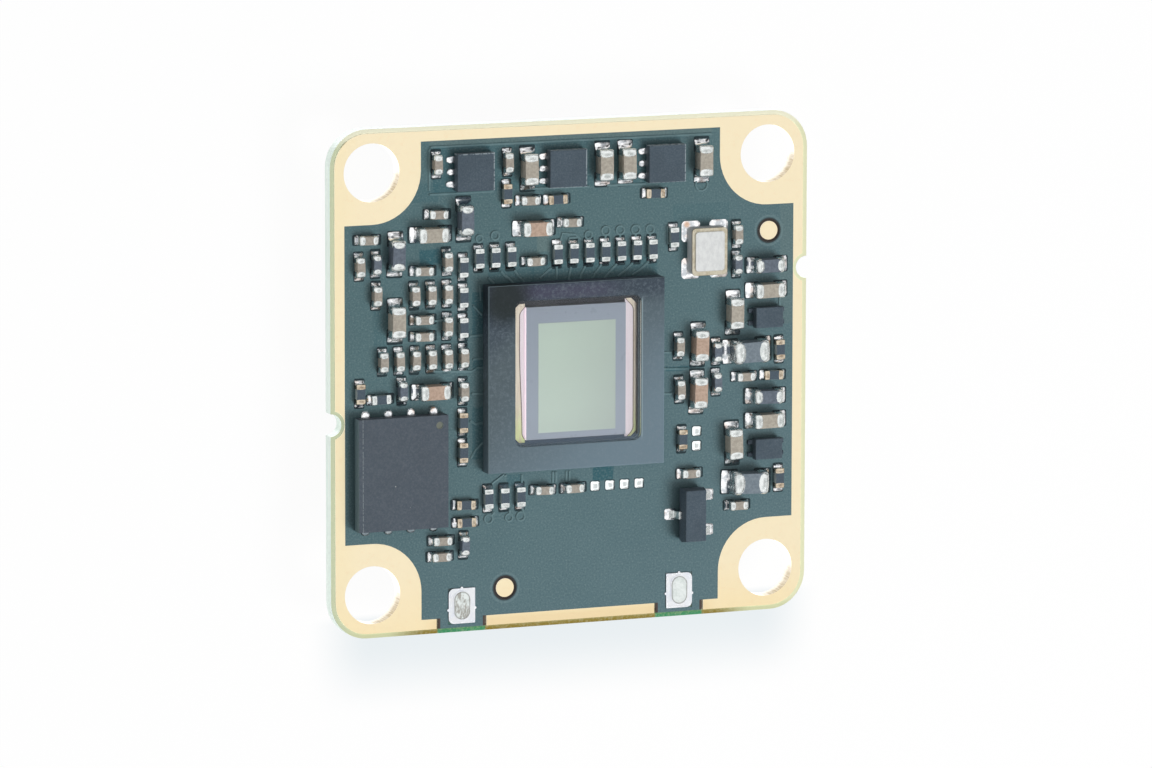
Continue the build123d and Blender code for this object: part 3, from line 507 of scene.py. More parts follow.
def makeBondFinish(name):
    look = bondLook
    finish = Finish(name, Roughness=0.36, Metallic=0.55)
    lengthwise = finish.axis("Y")
    acrossX = finish.axis("X") - look["middle"]
    bend = finish.ramp(finish.size(lengthwise - 0.12), 3.05, 3.85) ** 1.6 * look["bend"]
    taper = finish.ramp(lengthwise, 1.5, -3.0, 0.0, look["taper"]) * finish.fall(acrossX, -0.1, 0.1)
    line = finish.ramp(acrossX, -0.1, 0.1, look["leftLine"], look["rightLine"]) - taper
    fromLine = finish.size(acrossX) - line + bend
    strands = finish.grain(0.5, 3.0, stretch=(3.0, 0.3, 1.0))
    metal = finish.blend(finish.ramp(lengthwise, -3.2, -1.0), look["lowerWire"], look["upperWire"])
    metal = finish.blend(finish.ramp(strands, 0.42, 0.62) * 0.5, metal, look["wireShade"])
    band = finish.blend(finish.ramp(strands, 0.35, 0.7) * 0.3, look["band"], look["bandShade"])
    finish.base = finish.blend(finish.ramp(fromLine, 0.0, 0.04), band, metal)
    finish.paint(finish.inside(fromLine, 0.0, 0.024, 0.02), look["line"])
    finish.emboss(strands, look["relief"])
    return finish.done()


glassLook = {"film": (0.9, 0.95, 0.97), "clear": 0.012, "smear": 0.012, "rim": 0.7}


def makeGlassFinish(name):
    finish = Finish(name, Metallic=1.0, Roughness=0.04)
    finish.base = glassLook["film"]
    rim = finish.node("ShaderNodeFresnel", {}, {"IOR": 1.45})
    smear = finish.patches(1.6, 3.0, 0.45, 0.8) * glassLook["smear"]
    finish.set("Alpha", rim * glassLook["rim"] + smear + glassLook["clear"])
    return finish.done()


# body, shade and fleck of each ceramic and ferrite
ceramicLooks = {
    "smallTanCeramic": (linear(178, 171, 160), linear(154, 147, 137), linear(126, 116, 106)),
    "tanCeramic": (linear(190, 184, 171), linear(166, 158, 146), linear(136, 126, 114)),
    "brownCeramic": (linear(202, 178, 160), linear(178, 152, 134), linear(142, 118, 104)),
    "paleFerrite": (linear(130, 142, 151), linear(108, 120, 130), linear(162, 170, 176)),
    "greyFerrite": (linear(108, 118, 130), linear(86, 96, 108), linear(140, 148, 156)),
}


def makeCeramicFinish(name):
    body, shade, fleck = ceramicLooks[name]
    finish = Finish(name, IOR=1.55)
    finish.base = finish.blend(finish.patches(0.16, 3.0, 0.3, 0.7, rough=0.65), body, shade)
    finish.paint(finish.dots(0.12, 0.12, 0.02) * 0.35, fleck)
    finish.roughen(0.4, 0.2, 0.2)
    finish.emboss(finish.grain(0.07, 3.0, rough=0.7), 0.008)
    return finish.done()


resistorLook = {"glaze": linear(66, 80, 92), "fleck": linear(102, 114, 122),
                "alumina": linear(164, 176, 176), "roughness": (0.38, 0.2, 0.2, 2.0), "relief": 0.008}


def makeResistorFinish(name):
    look = resistorLook
    finish = Finish(name, IOR=1.5)
    speck = finish.patches(0.08, 3.0, 0.4, 0.75, rough=0.7)
    glaze = finish.blend(speck * 0.4, look["glaze"], look["fleck"])
    upward = finish.ramp(finish.size(finish.facing("Z")), 0.45, 0.8)
    finish.base = finish.blend(upward, look["alumina"], glaze)
    finish.roughen(*look["roughness"])
    finish.emboss(finish.grain(0.09, 3.0), look["relief"])
    return finish.done()


# bright and dull tone and least roughness of each plated metal
platingLooks = {
    "tinPlate": ((0.76, 0.79, 0.78), (0.58, 0.62, 0.61), 0.2),
    "warmTinPlate": (linear(210, 198, 178), linear(172, 154, 132), 0.16),
    "dullLead": (linear(96, 108, 118), linear(64, 74, 84), 0.5),
    "sealRingGold": (linear(214, 207, 188), linear(196, 186, 162), 0.34),
}


def makePlatingFinish(name):
    bright, dull, roughness = platingLooks[name]
    finish = Finish(name, Metallic=0.95)
    finish.base = finish.blend(finish.patches(0.26, 3.0, 0.4, 0.66, rough=0.6), bright, dull)
    finish.roughen(roughness, 0.12, 0.2)
    finish.emboss(finish.grain(0.12) + finish.grain(0.32, 1.0) * 2.0, 0.005)
    return finish.done()


solderLooks = {
    "solder": {"bright": (0.95, 0.95, 0.96), "dull": (0.52, 0.55, 0.58), "wrinkle": 0.008, "flux": 0.3,
               "metallic": 1.0, "glow": black},
    "tabSolder": {"bright": (0.98, 1.0, 1.0), "dull": (0.9, 0.93, 0.97), "wrinkle": 0.006, "flux": 0.05,
                  "metallic": 0.45, "glow": (0.06, 0.065, 0.09)},
    "padSolder": {"bright": (0.95, 0.99, 0.99), "dull": (0.86, 0.9, 0.91), "wrinkle": 0.012, "flux": 0.1,
                  "metallic": 1.0, "glow": (0.03, 0.04, 0.04)},
}
# flux left by the oscillator, and the shade below the memory
solderStains = {"flux": linear(206, 160, 122), "resin": linear(204, 146, 92), "resinPlace": (6.54, 7.62),
                "shade": linear(86, 104, 112), "shadeX": (-9.7, 2.9, 0.2)}


def makeSolderFinish(name):
    look = solderLooks[name]
    finish = Finish(name, Metallic=look["metallic"], Emission_Color=look["glow"], Emission_Strength=1.0)
    finish.base = finish.blend(finish.patches(0.3, 2.0, 0.42, 0.66), look["bright"], look["dull"])
    finish.paint(finish.patches(0.9, 2.0, 0.56, 0.66) * look["flux"], solderStains["flux"])
    resin = finish.fall(finish.distance(*solderStains["resinPlace"]), 0.08, 0.24)
    finish.paint(resin * 0.6, solderStains["resin"])
    shaded = finish.ramp(finish.axis("Y"), -7.6, -7.7) * finish.ramp(finish.axis("Y"), -8.1, -8.0)
    shaded = shaded * finish.inside(finish.axis("X"), *solderStains["shadeX"])
    finish.paint(shaded * 0.75, solderStains["shade"])
    finish.roughen(0.1, 0.14, 0.3, 2.0)
    finish.emboss(finish.grain(0.4, 0.0) * 2.0, look["wrinkle"])
    return finish.done()


tipLook = {"bright": linear(240, 246, 244), "dull": linear(218, 226, 223), "streak": linear(128, 116, 102),
           "outline": linear(132, 132, 128), "middleY": -12.08, "straight": 0.3, "radius": 0.36,
           "roughness": (0.3, 0.2, 0.2), "relief": 0.02}


def makeTipFinish(name):
    look = tipLook
    finish = Finish(name, Metallic=0.9)
    finish.base = finish.blend(finish.patches(0.3, 4.0, 0.35, 0.7, rough=0.7), look["bright"], look["dull"])
    streaks = finish.patches(0.34, 4.0, 0.42, 0.6, stretch=(1.6, 0.6, 1.0), rough=0.7)
    finish.paint(streaks * finish.fall(finish.axis("X"), -1.0, 1.0) * 0.65, look["streak"])
    across = finish.size(finish.axis("X")) - boardLook["tabs"]
    lengthwise = finish.larger(finish.size(finish.axis("Y") - look["middleY"]) - look["straight"], 0.0)
    away = (across * across + lengthwise * lengthwise) ** 0.5
    finish.paint(finish.ramp(away, look["radius"], look["radius"] + 0.07) * 0.75, look["outline"])
    finish.roughen(*look["roughness"])
    finish.emboss(finish.grain(0.16, 4.0), look["relief"])
    return finish.done()


openingLook = {"dark": linear(24, 40, 46), "light": linear(44, 64, 68), "roughness": (0.55, 0.2, 0.2)}


def makeOpeningFinish(name):
    look = openingLook
    finish = Finish(name, IOR=1.45)
    finish.base = finish.blend(finish.patches(0.12, 3.0, 0.35, 0.7), look["dark"], look["light"])
    finish.roughen(*look["roughness"])
    finish.emboss(finish.grain(0.1, 3.0), 0.006)
    return finish.done()


lidLook = {"bright": linear(230, 232, 231), "dull": linear(217, 219, 219), "roughness": (0.4, 0.16, 0.1)}


def makeLidFinish(name):
    finish = Finish(name, Metallic=0.75)
    scratch = finish.grain(0.2, 4.0, stretch=(1.0, 0.5, 1.0), rough=0.7)
    finish.base = finish.blend(finish.ramp(scratch, 0.36, 0.66), lidLook["bright"], lidLook["dull"])
    finish.roughen(*lidLook["roughness"])
    finish.emboss(scratch + finish.grain(0.06, 3.0) * 0.5, 0.006)
    return finish.done()


shellLook = {"bright": (0.64, 0.64, 0.66), "dull": (0.56, 0.56, 0.58), "roughness": (0.28, 0.14, 0.3)}


def makeShellFinish(name):
    finish = Finish(name, Metallic=1.0)
    drawn = finish.grain(0.6, 4.0, stretch=(0.1, 1.0, 1.0), rough=0.7)
    finish.base = finish.blend(finish.ramp(drawn, 0.3, 0.72), shellLook["bright"], shellLook["dull"])
    finish.roughen(*shellLook["roughness"])
    finish.emboss(drawn, 0.002)
    return finish.done()


maskFinish = makeMaskFinish("solderMask")
traceFinish = makeMaskFinish("solderMaskOverTraces", 0.4)
rearMaskFinish = makeMaskFinish("solderMaskRear", 0.0, False)
goldFinish = makeGoldFinish("goldPlate")
laminateFinish = makeLaminateFinish("glassLaminate")
packageFinish = makePackageFinish("sensorPackage")
siliconFinish = makeSiliconFinish("sensorSilicon")
pixelFinish = makePixelFinish("pixelLenses")
glassFinish = makeGlassFinish("coverGlass")
fingerFinish = makeBondFinish("bondingFingers")
memoryFinish = makeMemoryFinish("memoryCompound")
mouldFinish = makeMouldFinish("mouldCompound")
regulatorFinish = makeMouldFinish("regulatorCompound")
baseFinish = makeMouldFinish("ceramicBase")
insulatorFinish = makeMouldFinish("insulatorPlastic")
smallTanFinish = makeCeramicFinish("smallTanCeramic")
tanFinish = makeCeramicFinish("tanCeramic")
brownFinish = makeCeramicFinish("brownCeramic")
coilFinish = makeCeramicFinish("paleFerrite")
ferriteFinish = makeCeramicFinish("greyFerrite")
resistorFinish = makeResistorFinish("resistorGlaze")
tinFinish = makePlatingFinish("tinPlate")
warmTinFinish = makePlatingFinish("warmTinPlate")
dullLeadFinish = makePlatingFinish("dullLead")
ringFinish = makePlatingFinish("sealRingGold")
solderFinish = makeSolderFinish("solder")
cushionFinish = makeSolderFinish("tabSolder")
padFinish = makeSolderFinish("padSolder")
tipFinish = makeTipFinish("tabTips")
openingFinish = makeOpeningFinish("bareLaminate")
lidFinish = makeLidFinish("lidNickel")
shellFinish = makeShellFinish("receptacleSteel")
print("finishes")


def keepPiece(name, bm, finish, replaced=()):
    bmesh.ops.scale(bm, vec=(millimetre,) * 3, verts=bm.verts)
    mesh = bpy.data.meshes.new(name)
    bm.to_mesh(mesh)
    bm.free()
    mesh.shade_smooth()
    mesh.set_sharp_from_angle(angle=math.radians(38))
    for face in mesh.polygons:
        if abs(face.normal.z) > 0.9999 and face.area > 0.04 * millimetre ** 2:
            face.use_smooth = False  # large level faces stay level
    mesh.materials.append(finish)
    piece = bpy.data.objects.new(name, mesh)
    scene.collection.objects.link(piece)
    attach(piece, "root")
    if replaced:
        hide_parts(*replaced)


def box(size, middle=(0.0, 0.0, 0.0)):
    bm = bmesh.new()
    bmesh.ops.create_cube(bm, size=1.0)
    bmesh.ops.scale(bm, vec=size, verts=bm.verts)
    bmesh.ops.translate(bm, vec=middle, verts=bm.verts)
    return bm


def roundEdges(bm, edges, radius, segments):
    bmesh.ops.bevel(bm, geom=edges, offset=radius, segments=segments, profile=0.5, affect="EDGES",
                    clamp_overlap=True, material=-1)


def roundSharpEdges(bm, radius, segments=2, limit=30.0):
    sharp = [edge for edge in bm.edges
             if len(edge.link_faces) == 2 and edge.calc_face_angle(0.0) > math.radians(limit)]
    roundEdges(bm, sharp, radius, segments)


# upright edges of a box, all four or those towards one side
def roundUprightEdges(bm, radius, segments, side=0):
    upright = [edge for edge in bm.edges if abs(edge.verts[0].co.z - edge.verts[1].co.z) > 0.001
               and edge.verts[0].co.x * side >= 0]
    roundEdges(bm, upright, radius, segments)


# a model that is kept to be stamped many times
def pattern(bm):
    mesh = bpy.data.meshes.new("pattern")
    bm.to_mesh(mesh)
    bm.free()
    return mesh


def stamp(bm, mesh, matrix):
    start = len(bm.verts)
    bm.from_mesh(mesh)
    bm.verts.ensure_lookup_table()
    bmesh.ops.transform(bm, matrix=matrix, verts=bm.verts[start:])


def solidMesh(node):
    bm = bmesh.new()
    bm.from_mesh(nodes[node].data)
    bmesh.ops.scale(bm, vec=(1.0 / millimetre,) * 3, verts=bm.verts)
    bmesh.ops.remove_doubles(bm, verts=bm.verts, dist=0.0005)
    return bm


# a CAD node's shape with rounded edges
def soften(node, name, finish, radius, segments=2):
    bm = solidMesh(node)
    bmesh.ops.dissolve_limit(bm, angle_limit=math.radians(0.5), verts=bm.verts, edges=bm.edges,
                             use_dissolve_boundaries=False)
    roundSharpEdges(bm, radius, segments)
    keepPiece(name, bm, finish, (node,))


def lowest(points):
    return Vector([min(point[axis] for point in points) for axis in range(3)])


def highest(points):
    return Vector([max(point[axis] for point in points) for axis in range(3)])


# lowest and highest corner of each separate solid of a CAD node, in millimetres
def solidBoxes(node):
    bm = solidMesh(node)
    left = set(bm.verts)
    boxes = []
    while left:
        queue = [left.pop()]
        group = []
        while queue:
            vert = queue.pop()
            group.append(vert.co.copy())
            for edge in vert.link_edges:
                other = edge.other_vert(vert)
                if other in left:
                    left.remove(other)
                    queue.append(other)
        boxes.append((lowest(group), highest(group)))
    bm.free()
    boxes.sort(key=lambda corners: (round(corners[0].y, 3), round(corners[0].x, 3)))
    return boxes


def middleOf(corners):
    return (corners[0] + corners[1]) / 2


def longAxis(size):
    return 0 if size.x > size.y else 1


def finishNode(node, finish):
    slots = nodes[node].data.materials
    slots.clear()
    slots.append(finish)


# the end of a chip: rounded, then drawn down towards its corners and crowned inwards
def capModel(length, width, height, radius, crown):
    bm = box((length, width, height), (-length / 2, 0.0, height / 2))
    roundSharpEdges(bm, radius, 3, 60.0)
    long = [edge for edge in bm.edges if edge.calc_length() > radius * 0.6]
    bmesh.ops.subdivide_edges(bm, edges=long, cuts=2, use_grid_fill=True)
    for vert in bm.verts:
        outer = min(1.0, max(0.0, 1.0 + vert.co.x / length))
        lean = 2.0 * outer - 1.0
        side = (2.0 * vert.co.y / width) ** 2
        slope = (0.5 if lean > 0.0 else 0.2) * lean ** 2
        vert.co.z *= 1.0 - radius * (slope + 0.3 * side + 0.4 * side * outer ** 2) / height
        vert.co.x -= crown * (1.0 - side) * (1.0 - outer) ** 2
    return pattern(bm)


landLook = {"cushion": 0.085, "skin": 0.012, "margin": 0.035, "corner": 0.09, "thickness": 0.006,
            "lift": 0.001}


# solder runs up the end of a chip and lies over the whole land
def meniscusModel(reach, width, rise):
    bm = bmesh.new()
    bmesh.ops.create_cube(bm, size=1.0)
    bmesh.ops.subdivide_edges(bm, edges=bm.edges[:], cuts=5, use_grid_fill=True)
    bmesh.ops.translate(bm, vec=(0.5, 0.0, 0.5), verts=bm.verts)
    for vert in bm.verts:
        out, side, up = vert.co
        rim = (2.0 * side) ** 6
        climb = rise * (1.0 - out) ** 2.6 * (1.0 - 0.45 * rim)
        cushion = landLook["skin"] + landLook["cushion"] * (1.0 - out ** 6) * (1.0 - 0.7 * rim)
        vert.co = (out * reach * (1.0 - 0.12 * rim), side * width, up * (climb + cushion))
    return pattern(bm)


# the mask stays clear of each land by a narrow margin
def openingModel(reach, width, endLength):
    margin, thickness = landLook["margin"], landLook["thickness"]
    bm = box((reach + endLength + 2 * margin, width + 2 * margin, thickness),
             ((reach - endLength) / 2, 0.0, thickness / 2 + landLook["lift"]))
    roundUprightEdges(bm, landLook["corner"], 3)
    return pattern(bm)


# how the ends and the solder of each chip lie, and the least and most of the solder's swell
chipLook = {"bodyRadius": 0.03, "endOverlap": 0.06, "endShift": 0.035, "solderWidth": 1.04,
            "solderOverlap": 0.03, "turn": 1.6, "swell": ((0.82, 1.04), (0.94, 1.02), (0.7, 1.15))}
shortLand = {"reach": 0.27, "rise": 0.5}
longLand = {"reach": 0.42, "rise": 0.45}
capacitorShape = {"end": tinFinish, "round": 0.09, "crown": 0.05, "inset": 0.03, **longLand}
resistorShape = {"finish": resistorFinish, "slot": "resistor_glaze", "end": tinFinish, "round": 0.04,
                 "crown": 0.01, "inset": 0.015, **shortLand}
chipKinds = {
    "smallCapacitor": {"nodes": ("small_capacitors", "small_capacitor_ends"), "finish": smallTanFinish,
                       "slot": "tan_ceramic", "end": tinFinish, "round": 0.085, "crown": 0.045,
                       "inset": 0.025, **shortLand},
    "filterCapacitor": {"nodes": ("filter_capacitors", "filter_capacitor_ends"), "finish": brownFinish,
                        "slot": "brown_ceramic", **capacitorShape},
    "largeCapacitor": {"nodes": ("large_capacitors", "large_capacitor_ends"), "finish": tanFinish,
                       "slot": "tan_ceramic", **capacitorShape},
    "resistor": {**resistorShape, "nodes": ("resistors", "resistor_ends")},
    "terminatingResistor": {**resistorShape, "end": warmTinFinish,
                            "nodes": ("terminating_resistors", "terminating_resistor_ends")},
    "smallBead": {"nodes": ("small_ferrite_beads", "small_ferrite_bead_ends"), "finish": ferriteFinish,
                  "slot": "ferrite", "end": tinFinish, "round": 0.11, "crown": 0.05, "inset": 0.03,
                  **shortLand},
    "bead": {"nodes": ("ferrite_beads", "ferrite_bead_ends"), "finish": ferriteFinish, "slot": "ferrite",
             "end": tinFinish, "round": 0.16, "crown": 0.13, "inset": 0.05, **longLand},
    "inductor": {"nodes": ("power_inductors", "power_inductor_ends"), "finish": coilFinish,
                 "slot": "ferrite", "end": tinFinish, "round": 0.2, "crown": 0.2, "inset": 0.08,
                 "reach": 0.44, "rise": 0.42},
    "rearCapacitor": {"nodes": ("rear_capacitors", "rear_capacitor_ends"), "finish": tanFinish,
                      "slot": "tan_ceramic", "end": tinFinish, "round": 0.075, "crown": 0.03,
                      "inset": 0.025, **shortLand},
    "rearResistor": {**resistorShape, "nodes": ("rear_resistors", "rear_resistor_ends")},
}


def chipModels(look, size, along, endLength):
    length, width, height = size[along], size[1 - along], size.z
    bodySize = (length - 1.2 * endLength, width - 2 * look["inset"], height - look["inset"])
    body = box(bodySize, (0.0, 0.0, bodySize[2] / 2))
    roundSharpEdges(body, chipLook["bodyRadius"])
    wide = width * chipLook["solderWidth"]
    return {
        "body": pattern(body),
        "cap": capModel(endLength + chipLook["endOverlap"], width, height, look["round"], look["crown"]),
        "meniscus": meniscusModel(look["reach"], wide, look["rise"] * height),
        "opening": openingModel(look["reach"], wide, endLength),
    }


# one model of each kind, set down wherever the frame has one
def makeChips(kind, look, solder, openings):
    bodyNode, endNode = look["nodes"]
    ends = solidBoxes(endNode)
    bodyMesh = bmesh.new()
    endMesh = bmesh.new()
    models = None
    for corners in solidBoxes(bodyNode):
        middle = middleOf(corners)
        near = sorted(ends, key=lambda end: (middleOf(end) - middle).length)[:2]
        low = lowest([end[0] for end in near])
        high = highest([end[1] for end in near])
        along = longAxis(high - low)
        if models is None:
            models = chipModels(look, high - low, along, near[0][1][along] - near[0][0][along])
        rear = high.z < -0.2
        place = Matrix.Translation(((low.x + high.x) / 2, (low.y + high.y) / 2, high.z if rear else low.z))
        place = place @ Matrix.Rotation(math.pi / 2 * along, 4, "Z")
        if rear:
            place = place @ Matrix.Rotation(math.pi, 4, "X")
        turn = math.radians(dice.uniform(-chipLook["turn"], chipLook["turn"]))
        place = place @ Matrix.Rotation(turn, 4, "Z")
        stamp(bodyMesh, models["body"], place)
        for flip in (0.0, math.pi):
            atEnd = Matrix.Rotation(flip, 4, "Z") @ Matrix.Translation(((high - low)[along] / 2, 0, 0))
            atEnd = place @ atEnd
            endShift = Matrix.Translation((chipLook["endShift"], 0, 0))
            solderShift = Matrix.Translation((-chipLook["solderOverlap"], 0, 0))
            swell = Matrix.Diagonal((*(dice.uniform(*span) for span in chipLook["swell"]), 1))
            stamp(endMesh, models["cap"], atEnd @ endShift)
            stamp(solder, models["meniscus"], atEnd @ solderShift @ swell)
            stamp(openings, models["opening"], atEnd)
    keepPiece(kind + "Bodies", bodyMesh, look["finish"], (bodyNode,))
    keepPiece(kind + "Ends", endMesh, look["end"], (endNode,))


frontSolder = bmesh.new()
rearSolder = bmesh.new()
openings = bmesh.new()
for kind, look in chipKinds.items():
    makeChips(kind, look, rearSolder if kind.startswith("rear") else frontSolder, openings)
print("chip parts")


# heaps of solder beside leadless packages; upper and lower scale those on the two sides
heapLook = {
    "flash_memory_terminals": {"owner": "flash_memory", "reach": 0.4, "width": 0.52, "rise": 0.24,
                               "upper": 1.0, "lower": 0.8},
    "regulator_terminals": {"owner": "voltage_regulators", "reach": 0.46, "width": 0.38, "rise": 0.13,
                            "upper": 0.4, "lower": 1.0},
}


# half an egg of solder, its long side along the package
def moundModel(reach, width, height):
    bm = bmesh.new()
    bmesh.ops.create_uvsphere(bm, u_segments=24, v_segments=14, radius=1.0)
    for vert in bm.verts:
        vert.co = [math.copysign(abs(part) ** 0.72, part) for part in vert.co]
    bmesh.ops.scale(bm, vec=(reach, width / 2, height), verts=bm.verts)
    bmesh.ops.bisect_plane(bm, geom=bm.verts[:] + bm.edges[:] + bm.faces[:], plane_co=(0.0, 0.0, 0.0),
                           plane_no=(0.0, 0.0, 1.0), clear_inner=True)
    return pattern(bm)


# a small heap of solder stands outside each terminal
def addHeaps(node, look):
    heap = moundModel(look["reach"], look["width"], look["rise"])
    owners = solidBoxes(look["owner"])
    for low, high in solidBoxes(node):
        middle = middleOf((low, high))
        along = longAxis(high - low)
        home = min(owners, key=lambda owner: (middleOf(owner) - middle).length)
        outward = middle[along] > middleOf(home)[along]
        tip = Vector((middle.x, middle.y, 0.0))
        tip[along] = home[1][along] if outward else home[0][along]
        turn = math.pi / 2 * along + (0.0 if outward else math.pi)
        shrink = look["upper"] if outward else look["lower"]
        swell = Matrix.Diagonal((dice.uniform(0.92, 1.05) * shrink, dice.uniform(0.92, 1.05),
                                 dice.uniform(0.85, 1.15) * shrink, 1))
        stamp(frontSolder, heap, Matrix.Translation(tip) @ Matrix.Rotation(turn, 4, "Z") @ swell)


for node, look in heapLook.items():
    addHeaps(node, look)
    finishNode(node, solderFinish)


# a low cushion of solder with rounded corners
def cushionModel(length, width, height):
    bm = bmesh.new()
    bmesh.ops.create_cube(bm, size=1.0)
    bmesh.ops.subdivide_edges(bm, edges=bm.edges[:], cuts=7, use_grid_fill=True)
    for vert in bm.verts:
        x, y, z = vert.co
        dome = (1.0 - (2.0 * x) ** 8) * (1.0 - (2.0 * y) ** 8) * (1.0 - 0.35 * (x * x + y * y) * 4.0)
        corner = 1.0 - 0.12 * (2.0 * x) ** 8 * (2.0 * y) ** 8
        vert.co = (x * length * corner, y * width * corner, (z + 0.5) * height * (0.16 + 0.84 * dome))
    return pattern(bm)


# size of the cushions under the oscillator's corners and the transistor's feet, and how far in they lie
poolLook = {"oscillator": {"size": (1.06, 1.12, 0.13), "in": (0.2, 0.26)},
            "transistor": {"size": (0.66, 0.6, 0.12), "in": 0.12, "middleX": 6.0}}


def addPool(x, y, size):
    stamp(frontSolder, cushionModel(*size), Matrix.Translation((x, y, 0.0)))


def addPools():
    look = poolLook["oscillator"]
    low, high = (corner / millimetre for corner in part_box("oscillator_base"))
    for x in (low.x + look["in"][0], high.x - look["in"][0]):
        for y in (low.y + look["in"][1], high.y - look["in"][1]):
            addPool(x, y, look["size"])
    look = poolLook["transistor"]
    for low, high in solidBoxes("transistor_leads"):
        x = low.x + look["in"] if low.x < look["middleX"] else high.x - look["in"]
        addPool(x, (low.y + high.y) / 2, look["size"])


addPools()
keepPiece("frontSolder", frontSolder, solderFinish, ("front_solder_fillets",))
keepPiece("rearSolder", rearSolder, solderFinish, ("rear_solder_fillets",))
print("solder")


# a plate with round corners in the place of a CAD node, wider or longer by grow
def makeSlab(node, name, finish, corner, edge, grow):
    low, high = (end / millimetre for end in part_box(node))
    high.x += grow[0]
    low.y -= grow[1]
    bm = box(high - low)
    roundUprightEdges(bm, corner, 5)
    roundSharpEdges(bm, edge, 3, 50.0)
    bmesh.ops.translate(bm, vec=(low + high) / 2, verts=bm.verts)
    keepPiece(name, bm, finish, (node,))


def makeCushions(node, name, finish):
    cushions = bmesh.new()
    for low, high in solidBoxes(node):
        size = high - low
        x, y, z = middleOf((low, high))
        stamp(cushions, cushionModel(*size), Matrix.Translation((x, y, low.z)))
        stamp(openings, openingModel(size.x / 2, size.y, size.x / 2), Matrix.Translation((x, y, 0.0)))
    keepPiece(name, cushions, finish, (node,))


# CAD node, finish, material slot and edge radius of each piece that keeps its shape
frontPieces = {
    "flashMemory": ("flash_memory", memoryFinish, "mould_compound", 0.025),
    "voltageRegulators": ("voltage_regulators", regulatorFinish, "mould_compound", 0.012),
    "protectionArrays": ("protection_arrays", mouldFinish, "mould_compound", 0.015),
    "powerTransistor": ("power_transistor", mouldFinish, "mould_compound", 0.03),
    "transistorLeads": ("transistor_leads", tinFinish, "tin_plate", 0.025),
    "protectionArrayLeads": ("protection_array_leads", dullLeadFinish, "tin_plate", 0.02),
    "oscillatorBase": ("oscillator_base", baseFinish, "oscillator_ceramic", 0.02),
}
rearPieces = {
    "interfaceController": ("interface_controller", mouldFinish, "mould_compound", 0.05),
    "imageProcessor": ("image_processor", mouldFinish, "mould_compound", 0.04),
    "crystalBase": ("crystal_base", baseFinish, "oscillator_ceramic", 0.02),
    "crystalLid": ("crystal_lid", lidFinish, "lid_metal", 0.03),
    "receptacleShell": ("receptacle_shell", shellFinish, "connector_steel", 0.06),
    "receptacleInsulator": ("receptacle_insulator", insulatorFinish, "connector_plastic", 0.03),
    "receptacleContacts": ("receptacle_contacts", ringFinish, "gold_plate", 0.015),
    "groundPlating": ("ground_plating", goldFinish, "gold_plate", 0.014),
}


def softenAll(pieces):
    for name, (node, finish, slot, radius) in pieces.items():
        soften(node, name, finish, radius)


softenAll(frontPieces)
makeSlab("oscillator_seal_ring", "oscillatorSealRing", ringFinish, 0.2, 0.035, (0.1, 0.12))
makeSlab("oscillator_lid", "oscillatorLid", lidFinish, 0.16, 0.03, (0.06, 0.06))
makeCushions("spare_pads", "sparePads", padFinish)
softenAll(rearPieces)
print("packages")

soften("sensor_package", "sensorPackage", packageFinish, 0.045, 3)
print("sensor")

# CAD nodes that show as they are
plainNodes = {
    "circuit_board": laminateFinish, "solder_mask_front": maskFinish, "solder_mask_rear": rearMaskFinish,
    "fiducial_marks": goldFinish, "controller_balls": solderFinish, "processor_terminals": solderFinish,
    "sensor_chip": siliconFinish, "sensor_pixel_array": pixelFinish, "sensor_bond_strips": fingerFinish,
    "sensor_cover_glass": glassFinish,
}
for node, finish in plainNodes.items():
    finishNode(node, finish)


# the oval is the tab's end, with a lip of solder round it; nubs are what the solder drew out at the edges
tabLook = {"corner": 0.3, "edge": 0.055, "ovalWidth": 0.92, "ovalLength": 1.52, "ovalShift": 0.02,
           "lip": 0.05, "lipHeight": 0.022, "tipInset": 0.01, "nubRadius": 0.08, "nubInner": -0.15,
           "nubOuter": -0.2}


def ovalPlate(grow, thickness, depth):
    bm = bmesh.new()
    radius = tabLook["ovalWidth"] / 2 + grow
    for vert in bmesh.ops.create_circle(bm, cap_ends=True, radius=radius, segments=32)["verts"]:
        vert.co.y += math.copysign((tabLook["ovalLength"] - tabLook["ovalWidth"]) / 2, vert.co.y)
    bmesh.ops.inset_region(bm, faces=bm.faces[:], thickness=thickness, depth=depth)
    return pattern(bm)


def makeTabJoints():
    look = tabLook
    cushions = bmesh.new()
    tips = bmesh.new()
    for low, high in solidBoxes("receptacle_tab_joints"):
        if high.z < 0.03:
            continue
        size = high - low
        middle = middleOf((low, high))
        outward = 1.0 if middle.x > 0 else -1.0
        bm = box((size.x, size.y, high.z))
        roundUprightEdges(bm, look["corner"], 5, outward)
        roundSharpEdges(bm, look["edge"], 3, 50.0)
        sideX = outward * size.x / 2
        for x, y in ((0.0, size.y / 2), (-sideX, look["nubInner"]), (sideX, look["nubOuter"])):
            made = bmesh.ops.create_uvsphere(bm, u_segments=12, v_segments=8, radius=look["nubRadius"])
            bmesh.ops.scale(bm, vec=(1.0, 1.0, 0.3), verts=made["verts"])
            bmesh.ops.translate(bm, vec=(x, y, -0.005), verts=made["verts"])
        stamp(cushions, pattern(bm), Matrix.Translation((middle.x, middle.y, high.z / 2)))
        ovalY = middle.y + look["ovalShift"]
        lip = ovalPlate(look["lip"], look["lip"] * 0.6, look["lipHeight"])
        stamp(cushions, lip, Matrix.Translation((middle.x, ovalY, high.z - 0.001)))
        tip = ovalPlate(-look["tipInset"], 0.03, 0.004)
        stamp(tips, tip, Matrix.Translation((middle.x, ovalY, high.z + look["lipHeight"])))
    keepPiece("tabJoints", cushions, cushionFinish, ("receptacle_tab_joints",))
    keepPiece("tabTips", tips, tipFinish)


makeTabJoints()
print("tabs")

